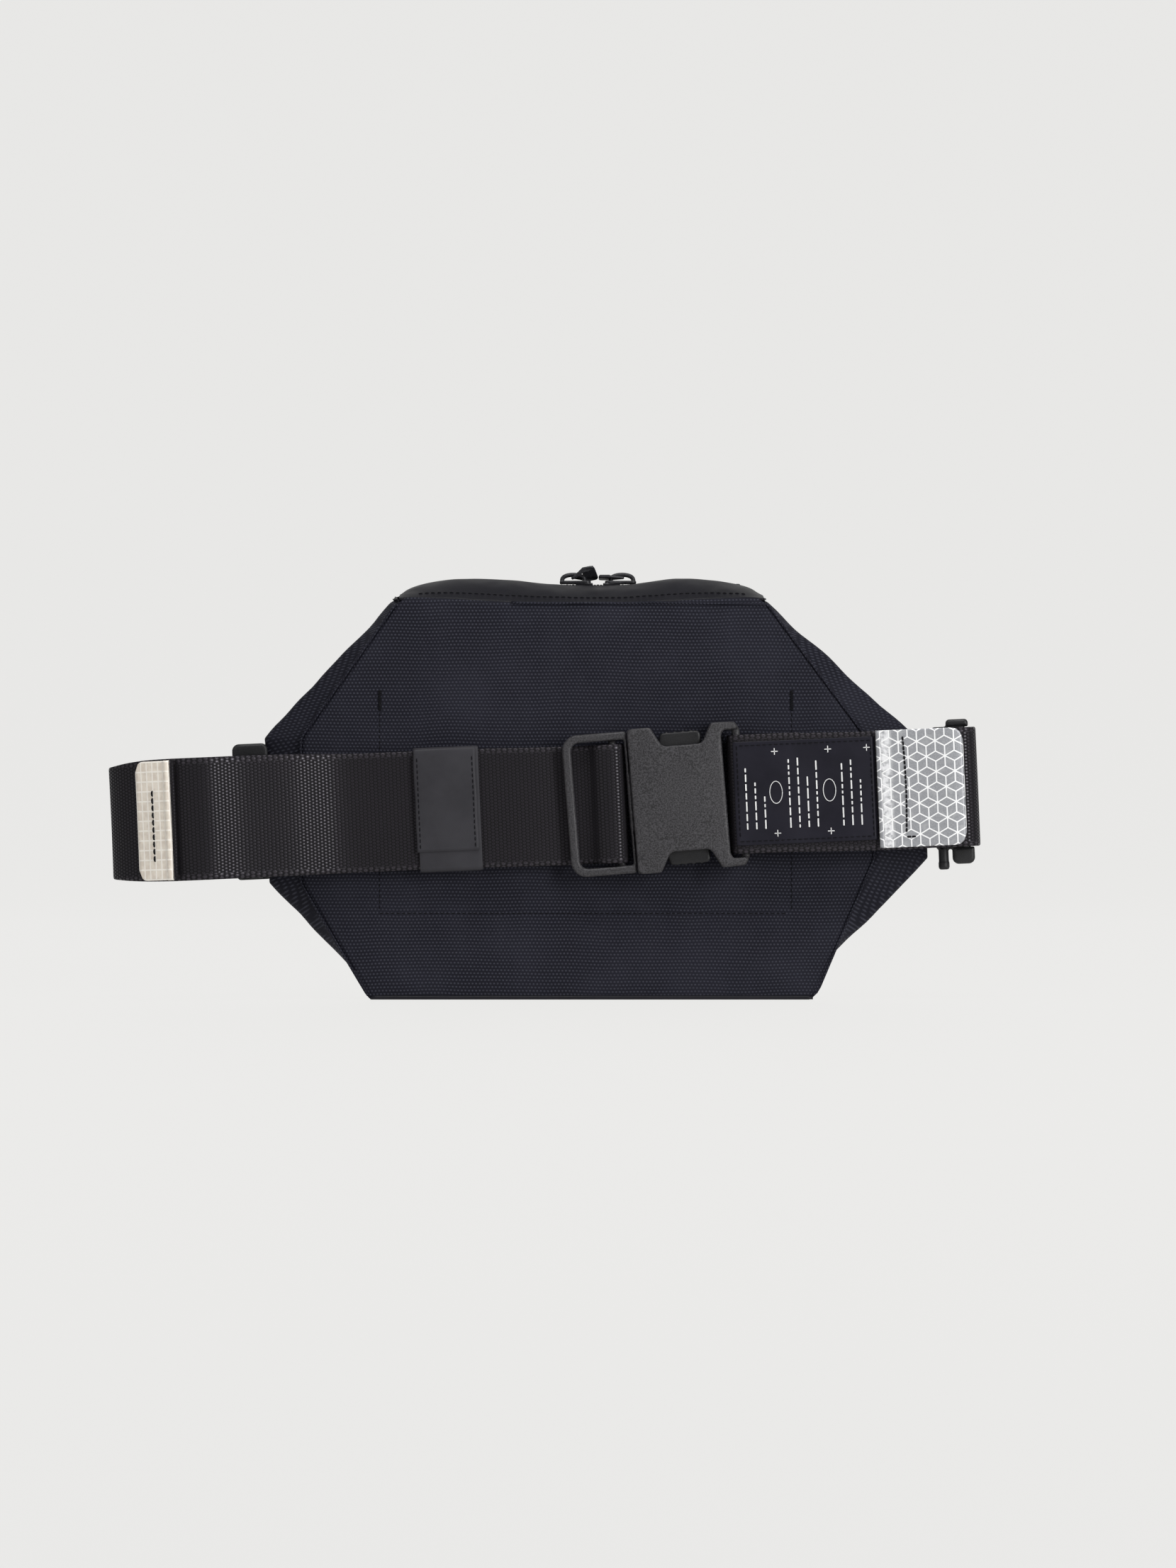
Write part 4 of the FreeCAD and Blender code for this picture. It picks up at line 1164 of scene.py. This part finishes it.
def make_label():
    """A black label with plain marks only: columns of dashes, plus marks and two rings."""
    low, high, y, half, rise = 62.0, 120.8, -43.6, 21.5, 1.1

    def on_label(x, y, z):
        return on_belt(x, y, z + rise)

    path = [(low + (high - low) * share, y + 0.12 * math.sin(k * 0.35))
            for k, share in enumerate(shares(40))]
    label = ribbon("label_cloth", path, half, 0.45, "label", crown=0.1, seed=7.0, place=on_label)
    settle(label, "root", "label_cloth", "strap_label")
    inset = 1.6
    x0, x1, z0, z1 = low + inset, high - inset, -half + inset, half - inset
    corners = [(x0, z0), (x1, z0), (x1, z1), (x0, z1), (x0, z0)]
    stitches = []
    for (xa, za), (xb, zb) in zip(corners, corners[1:]):
        stitches += stitch_line([on_label(xa + (xb - xa) * share, y - 0.32, za + (zb - za) * share)
                                 for share in shares(21)], 2.4, 0.18)
    stitch_piece("label_stitches", stitches)

    marks = []

    def bar(x0, x1, z0, z1, radius):
        marks.append(moulded_plate([box_outline(x0, z0, x1, z1, radius, 3)], 0.12, 0.03,
                                   on_label, shift=y - 0.36))

    generator = random.Random(11)
    for x, top in DASH_COLUMNS:
        z = -15.0
        while z < top:
            length = generator.uniform(1.2, 4.4)
            bar(x, x + 0.6, z, min(z + length, top + 1.5), 0.2)
            z += length + 0.9
    for x, z in PLUS_MARKS:
        for across, up in ((1.4, 0.18), (0.18, 1.4)):
            bar(x - across, x + across, z - up, z + up, 0.1)
    for x in (79.2, 101.4):
        ring = [(x + 2.6 * math.cos(a), y - 0.36, 4.6 * math.sin(a))
                for a in np.linspace(0, math.tau, 41)]
        marks.append(tube(ring, 0.17, 6, place=on_label))
    settle(join("label_marks", marks, LOOK["print"]), "root", "label_cloth")


def make_keeper():
    """A sleeve of coated fabric round the strap, its end lapped over its front."""
    y, half_y, half_z, wall, columns = -37.6, 1.25, 25.2, 0.8, 26

    def puff(z):
        return 0.35 * math.cos(z / half_z * math.pi / 2)

    def ring(x, grow):
        outline = box_outline(-half_y - grow, -half_z - grow, half_y + grow, half_z + grow,
                              1.1 + grow, 5)
        result = []
        for (y0, z0), (y1, z1) in zip(outline, outline[1:] + outline[:1]):
            parts = max(1, int(abs(z1 - z0) / 2.2))
            for number in range(parts):
                dy = y0 + (y1 - y0) * number / parts
                dz = z0 + (z1 - z0) * number / parts
                wave = 0.16 * ripple((x, dy, dz), 8.0, 9.0) if grow else 0.0
                push = -puff(dz) - wave if dy < 0 else 0.4 * puff(dz) + wave
                result.append(on_belt(x, y + dy + push, dz))
        return result

    xs = np.linspace(*KEEPER_X, columns)
    rings = [ring(x, wall - (0.25 if index in (0, columns - 1) else 0.0))
             for index, x in enumerate(xs)]
    rings += [ring(x, 0.0) for x in reversed(xs)]
    count = min(len(points) for points in rings)
    mesh = mesh_from("keeper_sleeve", [point for points in rings for point in points[:count]],
                     grid_faces(len(rings), count, wrap_rows=True, wrap_columns=True))
    fix_normals(mesh)
    sleeve = add_object("keeper_sleeve", mesh, LOOK["keeper"])
    shade_by_angle(sleeve, 50)
    settle(sleeve, "keeper", "coated_fabric", "keeper_loop")

    def lap_depth(x, z, lift):
        return y - half_y - wall - lift - puff(z) + 0.16 * ripple((x, 0, z), 9.0, 12.0)

    rows = 34
    points = []
    for row, up in enumerate(shares(rows)):
        z = -17.5 + (26.0 + 17.5) * up
        slip = 0.3 * ripple((0, 0, z), 9.0, 2.2)
        sunk = 0.9 if row == rows - 1 else 0.0
        points += [on_belt(x + slip, lap_depth(x, z, 0.45) + sunk, z)
                   for x in np.linspace(KEEPER_X[0] - 0.9, KEEPER_X[1] - 1.2, columns)]
    lap = sheet("keeper_lap", points, rows, OUT, 0.8, "keeper")
    settle(lap, "keeper", "coated_fabric")
    stitches = []
    for x in (KEEPER_X[0] + 0.5, KEEPER_X[1] - 2.6):
        run = [on_belt(x, lap_depth(x, z, 0.5), z) for z in np.linspace(-16, 23.5, 40)]
        stitches += stitch_line(run, 2.4, 0.2)
    stitch_piece("keeper_stitches", stitches, "keeper")


def make_wing_anchors():
    """Short webbing loops from each wing tip round the first bar of its lock."""
    for index, side, name in SIDES:
        tip, bar = TIP_X[index], LOCK_X[index] - side * 6.0
        turn = bar + side * 2.0
        half = [(tip - side * 4.0, -2.4), (tip, -2.4), (bar - side * 0.4, -2.4),
                (turn - side * 0.4, -1.8)]
        path = half + [(turn, 0.0)] + [(x, -y) for x, y in reversed(half)]
        path, _ = route([(x, LOCK_Y + y) for x, y in path], 0.8)
        piece = ribbon("anchor_" + name, path, WEB_HALF, WEB, "webbing", seed=8.0 + index)
        settle(piece, "root", "webbing", "wing_anchor_" + name)


# ---- moulded hardware ----
# Below and above the webbing on each lock: the lug's box, along the belt from the middle bar
# and across the belt.
LOCK_LUGS = (((-7.1, -27.0, 8.0, -25.2), (-7.1, 25.2, 8.0, 31.0)),
             ((-0.3, -32.3, 9.1, -25.2), (-0.9, 25.2, 8.5, 28.4)))


def make_locks():
    """Three-bar webbing locks with rounded lugs above and below the webbing."""
    for index, _, name in SIDES:
        middle = LOCK_X[index]
        outlines = [box_outline(middle - 7.1, -26, middle + 7.1, 25.4, 1.5, 5)]
        outlines += [box_outline(middle + step - 1.9, -24.9, middle + step + 1.9, 24.9, 0.8, 4)
                     for step in (-3.0, 3.0)]
        pieces = [moulded_plate(outlines, 3.0, 0.6, on_belt, shift=LOCK_Y)]
        for x0, z0, x1, z1 in LOCK_LUGS[index]:
            a, b = middle + x0, middle + x1
            radii = (2.6, 2.6, 0.5, 0.5) if z0 < 0 else (0.5, 0.5, 3.6, 3.0)
            corners = ((a, z0), (b, z0), (b, z1), (a, z1))
            if z1 - z0 > 2.6:
                lug = rounded([(*corner, radius) for corner, radius in zip(corners, radii)], 7)
                pieces.append(moulded_plate([lug], 3.9, 1.4, on_belt, shift=LOCK_Y))
        if name == "right":
            peg = [(middle - 4.0, LOCK_Y, -34.4 + 0.33 * k) for k in range(28)]
            pieces.append(tube(peg, lambda s: 2.15 * min(1.0, 0.72 + 3.0 * s) + (
                0.2 if s < 0.35 else 0.0), 16, place=on_belt))
        piece = voxel_union(pieces, "lock_" + name, 0.34, 2, LOOK["lock"])
        settle(piece, "root", "buckle_plastic", "strap_lock_" + name)


DOME_CENTRE_X, DOME_HALF, DOME_HEIGHT = 38.5, (23.5, 40.0), 1.3


def mirrored(corners, side):
    """Corners of an outline, turned over across the buckle when side is -1."""
    return [(x, z * side, radius) for x, z, radius in corners][::side]


def from_buckle(vertex):
    """A vertex's place in the buckle's frame."""
    local = vertex.co / MM - BUCKLE_ORIGIN
    return local.dot(BUCKLE_AXIS), local.y, local.dot(BUCKLE_UP)


def make_female():
    thickness, wall = 13.4, 2.9
    lower = [(19.4, -30.3, 2.4), (29.2, -30.3, 1.6), (33.6, -22.0, 3.0), (50.2, -22.0, 3.0),
             (54.6, -30.3, 1.8), (63.6, -30.0, 3.0), (66.8, -26.7, 1.2), (59.4, -26.7, 1.4),
             (58.4, -24.6, 1.0)]
    shell = rounded(lower + mirrored(lower, -1), 7)
    pieces = [moulded_plate([shell], wall, 1.0, in_buckle, shift=side * (thickness - wall) / 2)
              for side in (-1, 1)]
    pieces.append(moulded_plate([box_outline(54.6, -26, 58.2, 26, 1)], 11.0, 0.6, in_buckle))
    for side in (1, -1):
        for corners in (((19.4, 25.6), (30.8, 25.6), (28.8, 30.0), (19.4, 30.0)),
                        ((53.0, 26.7), (66.6, 26.7), (64.2, 30.0), (55.0, 30.0)),
                        ((52.4, 20.5), (57.0, 20.5), (57.0, 27.0), (53.4, 27.0))):
            outline = rounded(mirrored([(*corner, 0.9) for corner in corners], side))
            pieces.append(moulded_plate([outline], 11.6, 0.7, in_buckle))
        low, high = sorted((9.4 * side, 10.8 * side))
        rail = box_outline(27.0, low, 52.0, high, 0.5)
        pieces.append(moulded_plate([rail], 8.0, 0.4, in_buckle))
    pieces.append(tube([(64.6, 0, z) for z in np.linspace(-27, 27, 20)], 1.8, 16,
                       place=in_buckle))
    piece = voxel_union(pieces, "buckle_female_shell", 0.46, 3, LOOK["buckle"])
    for vertex in piece.data.vertices:       # a shallow dome on both broad faces
        x, y, z = from_buckle(vertex)
        u = (x - DOME_CENTRE_X) / DOME_HALF[0]
        lift = max(0.0, 1 - u * u) * max(0.0, 1 - (z / DOME_HALF[1]) ** 2)
        drop = (1 - lift) * DOME_HEIGHT * smoothstep(abs(y) / 4.5)
        vertex.co.y += (-1 if y > 0 else 1) * drop * MM
    settle(piece, "root", "buckle_plastic", "buckle_female")


def make_male():
    outer = rounded([(-8, -29.6, 6.5), (19.2, -29.6, 1.2), (19.2, 29.6, 1.2), (-8, 29.6, 6.5)], 10)
    window = rounded([(-4.3, -26.2, 3.4), (18.0, -26.2, 1.0), (18.0, 26.2, 1.0),
                      (-4.3, 26.2, 3.4)], 6)
    plate = moulded_plate([outer, window], 7.0, 1.1, in_buckle)
    for vertex in plate.data.vertices:       # thinner behind, where the webbing passes
        x, y, z = from_buckle(vertex)
        if x < -3.9 and abs(z) < 26.0 and y > -0.2:
            vertex.co.y = (BUCKLE_ORIGIN.y - 0.2) * MM
    bar = tube([(13.0, 0.9, z) for z in np.linspace(-26, 26, 24)], 1.5, 14, place=in_buckle)
    lower = [(17.8, -12.3, 0.6), (24.5, -12.3, 1.5), (26, -7, 2), (47, -7, 2.4), (50, -4.5, 2)]
    tongue = moulded_plate([rounded(lower + mirrored(lower, -1))], 5.6, 1.0, in_buckle)
    piece = voxel_union([plate, bar, tongue], "buckle_male_frame", 0.42, 3, LOOK["buckle"])
    settle(piece, "buckle_tongue", "buckle_plastic", "buckle_male")


def make_prongs():
    """Springy arms from their roots beside the tongue to ribbed thumb pads."""
    corners = [(19.8, 13.4, 1.6), (22.0, 13.2, 1.0), (34.0, 18.8, 3.0), (48.4, 18.8, 1.6),
               (50.0, 20.6, 1.4), (50.0, 26.4, 1.6), (48.8, 27.5, 1.2), (33.4, 27.5, 1.6),
               (31.8, 23.6, 2.0), (20.2, 17.0, 1.6)]
    for side, name, body in ((1, "upper", "prong_up"), (-1, "lower", "prong_down")):
        pieces = [moulded_plate([rounded(mirrored(corners, side), 6)], 5.6, 0.9, in_buckle)]
        for number in range(4):
            rib = [(36.0 + number * 3.4, y, 27.35 * side) for y in np.linspace(-2.3, 2.3, 6)]
            pieces.append(tube(rib, 0.55, 8, place=in_buckle))
        # LOOK["prong"] is the buckle plastic drawn darker, as painted shade of the pads' recess
        piece = voxel_union(pieces, "prong_" + name + "_arm", 0.34, 2, LOOK["prong"])
        settle(piece, body, "buckle_plastic", "prong_" + name)


# ---- zip ----
SLIDER_X = (-4.0, 14.4)
TOOTH_PITCH = 2.6
TEETH_END_X = 62.4
PLATE_Z = (171.0, 175.35)                    # bottom and top plate of a slider


def pin(index):
    """Where a pull hangs on its slider."""
    return Vector(JOINTS["pull_swing_" + SIDES[index][2]]["pos_m"]) / MM


def zip_rows(prefix, end_x, build, node, slot):
    """The back row of a part of the zip, and the two halves of its front row."""
    for name, side, low, high, lip in (("_back", -1, -end_x, end_x, 0),
                                       ("_front_left", 1, -end_x, MOUTH_MIDDLE, -1),
                                       ("_front_right", 1, MOUTH_MIDDLE, end_x, 1)):
        piece = build(prefix + name, side, low, high)
        if lip:
            open_with_lip(piece, lip)
            settle(piece, None, slot, node + "_front")
        else:
            settle(piece, "root", slot, node + "_back")


def make_tape(name, side, low, high):
    z = (TAPE[0][2] + TAPE[1][2]) / 2
    rows, xs = 7, np.linspace(low, high, max(20, int((high - low) / 2)))
    points = []
    for share in shares(rows):
        y = side * (10.5 + (2.3 - 10.5) * share)
        points += [(x, y, z + 0.4 + 0.12 * ripple((x, y, 0), 9.0, 3.3)
                    - 0.5 * smoothstep((abs(y) - 7) / 3)) for x in xs]
    cloth = sheet(name, points, rows, UP, 0.7)
    return join(name, [cloth, tube([(x, side * 2.5, z) for x in xs], 0.75, 8)],
                LOOK["zip_tape"])


def tooth(x, side):
    """One moulded tooth: a block on the tape's cord with a rounded head past the middle."""
    outline = [(2.9, 0.62), (1.2, 0.62), (0.6, 0.42), (0.2, 0.42), (-0.4, 0.6), (-0.85, 0.4)]
    outline += [(y, -w) for y, w in reversed(outline)]
    levels = ((-1.3, 0.72), (-1.0, 1.0), (1.0, 1.0), (1.3, 0.72))
    vertices = [(x + w * scale, side * (1.0 + (y - 1.0) * (0.94 + 0.06 * scale)),
                 ZIP_MIDDLE_Z + z) for z, scale in levels for y, w in outline]
    return vertices, closed_tube_faces(len(levels), len(outline))


def make_teeth(name, side, low, high):
    shift = 0.0 if side < 0 else TOOTH_PITCH / 2
    places = (index * TOOTH_PITCH + shift for index in range(-24, 25))
    piece = combined(name, [tooth(x, side) for x in places
                            if low < x < high and abs(x) < TEETH_END_X], "zip_teeth")
    shade_by_angle(piece, 40)
    return piece


def make_stops():
    for _, side, name in SIDES:
        low, high = sorted((side * 63.0, side * 65.4))
        piece = moulded_plate([box_outline(low, -3.4, high, 3.4, 0.8)], 3.2, 0.7,
                              lambda x, y, z: Vector((x, z, ZIP_MIDDLE_Z + y)),
                              name="stop_" + name)
        piece.data.materials.append(LOOK["zip_tape"])
        shade_by_angle(piece, 40)
        settle(piece, "root", "webbing", "zip_stop_" + name)


def make_sliders():
    """Two cast sliders, nose to nose, each with an arched bridge over its top plate."""
    def flat(x, y, z):
        return Vector((x, z, y))

    for index, outer, name in SIDES:
        side, middle = -outer, SLIDER_X[index]
        nose, tail = middle + side * 7.0, middle - side * 7.0
        half = [(tail, -4.2, 1.6), (middle - side * 1.0, -4.4, 2.0), (nose, -6.0, 2.2)]
        plan = rounded((half + [(nose - side * 1.6, 0, 1.4)] + mirrored(half, -1))[::side], 5)
        pieces = [moulded_plate([plan], 1.3, 0.4, flat, shift=PLATE_Z[1]),
                  moulded_plate([plan], 1.2, 0.4, flat, shift=PLATE_Z[0]),
                  tube([(nose - side * 2.6, 0, z) for z in np.linspace(170.8, 175.6, 8)], 0.9)]
        for edge in (-1, 1):
            rim = [(nose - side * k, edge * (5.5 - 0.24 * k), 174.5) for k in range(8)]
            pieces.append(tube(rim, 0.5, 8))
        low, high = node_box("zip_slider_" + name)
        reach = (high[0] - low[0]) / 2 - 2.2
        arch = [(pin(index).x - math.cos(angle) * reach, 0.0,
                 175.6 + 3.0 * max(0.0, math.sin(angle)) ** 0.62)
                for angle in (math.pi * share for share in shares(25))]
        bridge = tube(arch, 0.95, 12)
        for vertex in bridge.data.vertices:
            vertex.co.y *= 1.35
        piece = voxel_union(pieces + [bridge], "slider_" + name, 0.2, 2, LOOK["zip_metal"])
        settle(piece, "slider_" + name, "zip_metal", "zip_slider_" + name)


def make_pulls():
    """A ring through each bridge that widens into a flat grip plate with a raised rim."""
    for index, side, name in SIDES:
        angle = math.radians((22.0, 180.0)[index])

        def along_pull(x, y, z):
            """x along the pull from its pin, z across it, y above its plate."""
            roll = (0.85, 0.12)[index] * smoothstep((x - 1.0) / 4.5)
            y, z = y * math.cos(roll) - z * math.sin(roll), z * math.cos(roll) + y * math.sin(roll)
            y -= (0.2, 0.0)[index] * max(0.0, x - 2.5)
            return Vector((pin(index).x + x * math.cos(angle) - y * math.sin(angle), z,
                           pin(index).z + x * math.sin(angle) - side * y * math.cos(angle)))

        half = [(-0.9, -2.6, 1.2), (5.2, -3.9, 1.2), (9.9, -3.9, 1.6)]
        hole = [(0.5, -1.7, 0.7), (4.2, -2.0, 1.0)]
        plate = moulded_plate([rounded(half + mirrored(half, -1), 6),
                               rounded(hole + mirrored(hole, -1), 5)], 1.15, 0.4, along_pull)
        rim = tube([(5.4, 0.5, -3.3), (9.3, 0.5, -3.3), (9.3, 0.5, 3.3), (5.4, 0.5, 3.3),
                    (5.4, 0.5, -3.3)], 0.34, 8, place=along_pull)
        piece = voxel_union([plate, rim], "pull_" + name + "_grip", 0.17, 2, LOOK["zip_metal"])
        settle(piece, "pull_" + name, "zip_metal", "zip_pull_" + name)


# ---- stage ----
def make_stage():
    """A pale sweep: floor, curve and wall in one piece, lit evenly."""
    profile = [(-3.0, 0.0), (1.2, 0.0)]
    profile += [(1.2 + 1.5 * math.sin(a), 1.5 - 1.5 * math.cos(a))
                for a in np.linspace(0.05, math.pi / 2, 24)]
    profile += [(2.7, 4.0)]
    points = [(x / MM, y / MM, z / MM - 0.05) for y, z in profile for x in (-4.0, 4.0)]
    n = Nodes("paper")
    color = n.mix(n.noise(n.place_mm()[0], 0.02), (0.011, 0.0109, 0.0108),
                  (0.013, 0.0129, 0.0128))
    material = n.finish(color, 0.9, Specular_IOR_Level=0.05, Emission_Strength=0.813,
                        Emission_Color=(0.985, 0.98, 0.965))
    sweep = add_object("sweep", mesh_from("sweep", points, grid_faces(len(profile), 2)), material)
    if sweep.data.polygons[0].normal.z < 0:
        sweep.data.flip_normals()

    world = bpy.data.worlds.new("studio")
    bpy.context.scene.world = world
    world.use_nodes = True
    background = world.node_tree.nodes["Background"]
    background.inputs["Color"].default_value = (0.96, 0.97, 1.0, 1.0)
    background.inputs["Strength"].default_value = 0.14

    for name, place, aim, width, height, power in (
            ("key", (1.05, -1.2, 0.35), (0, 0, 0.09), 0.3, 1.2, 22),
            ("fill", (-1.2, -0.9, 0.7), (0, 0, 0.09), 0.7, 0.9, 4),
            ("top", (0.0, -0.5, 1.3), (0, 0, 0.1), 0.9, 0.5, 11)):
        data = bpy.data.lights.new(name, "AREA")
        data.shape = "RECTANGLE"
        data.size, data.size_y = width, height
        data.energy = power
        light = bpy.data.objects.new(name, data)
        light.location = place
        light.rotation_euler = (Vector(aim) - Vector(place)).to_track_quat("-Z", "Y").to_euler()
        bpy.context.scene.collection.objects.link(light)


def make_camera():
    """Square on to the back panel, through a long lens."""
    scene = bpy.context.scene
    scene.view_settings.view_transform = "Standard"
    data = bpy.data.cameras.new("camera")
    distance, frame_width, belt_y = 2.2, 0.488, -0.045
    data.sensor_fit = "HORIZONTAL"
    data.sensor_width = 36.0
    data.lens = data.sensor_width * (distance + belt_y) / frame_width
    data.clip_end = 20
    camera = bpy.data.objects.new("camera", data)
    camera.location = (0.001, -distance, 0.090)
    camera.rotation_euler = (math.pi / 2, 0, 0)
    scene.collection.objects.link(camera)
    scene.camera = camera


make_camera()
for make in (make_bag_shell, make_back_panel, make_seam_cord, make_bottom_piping, make_bands,
             make_zip_ends, make_bag_stitches, make_inner_pocket):
    make()
zip_rows("tape", TAPE[1][0], make_tape, "zip_tape", "webbing")
zip_rows("teeth", TAPE[1][0], make_teeth, "zip_teeth", "zip_plastic")
for make in (make_stops, make_sliders, make_pulls, make_left_strap, make_right_strap, make_label,
             make_keeper, make_wing_anchors, make_locks, make_female, make_male, make_prongs,
             make_stage):
    make()
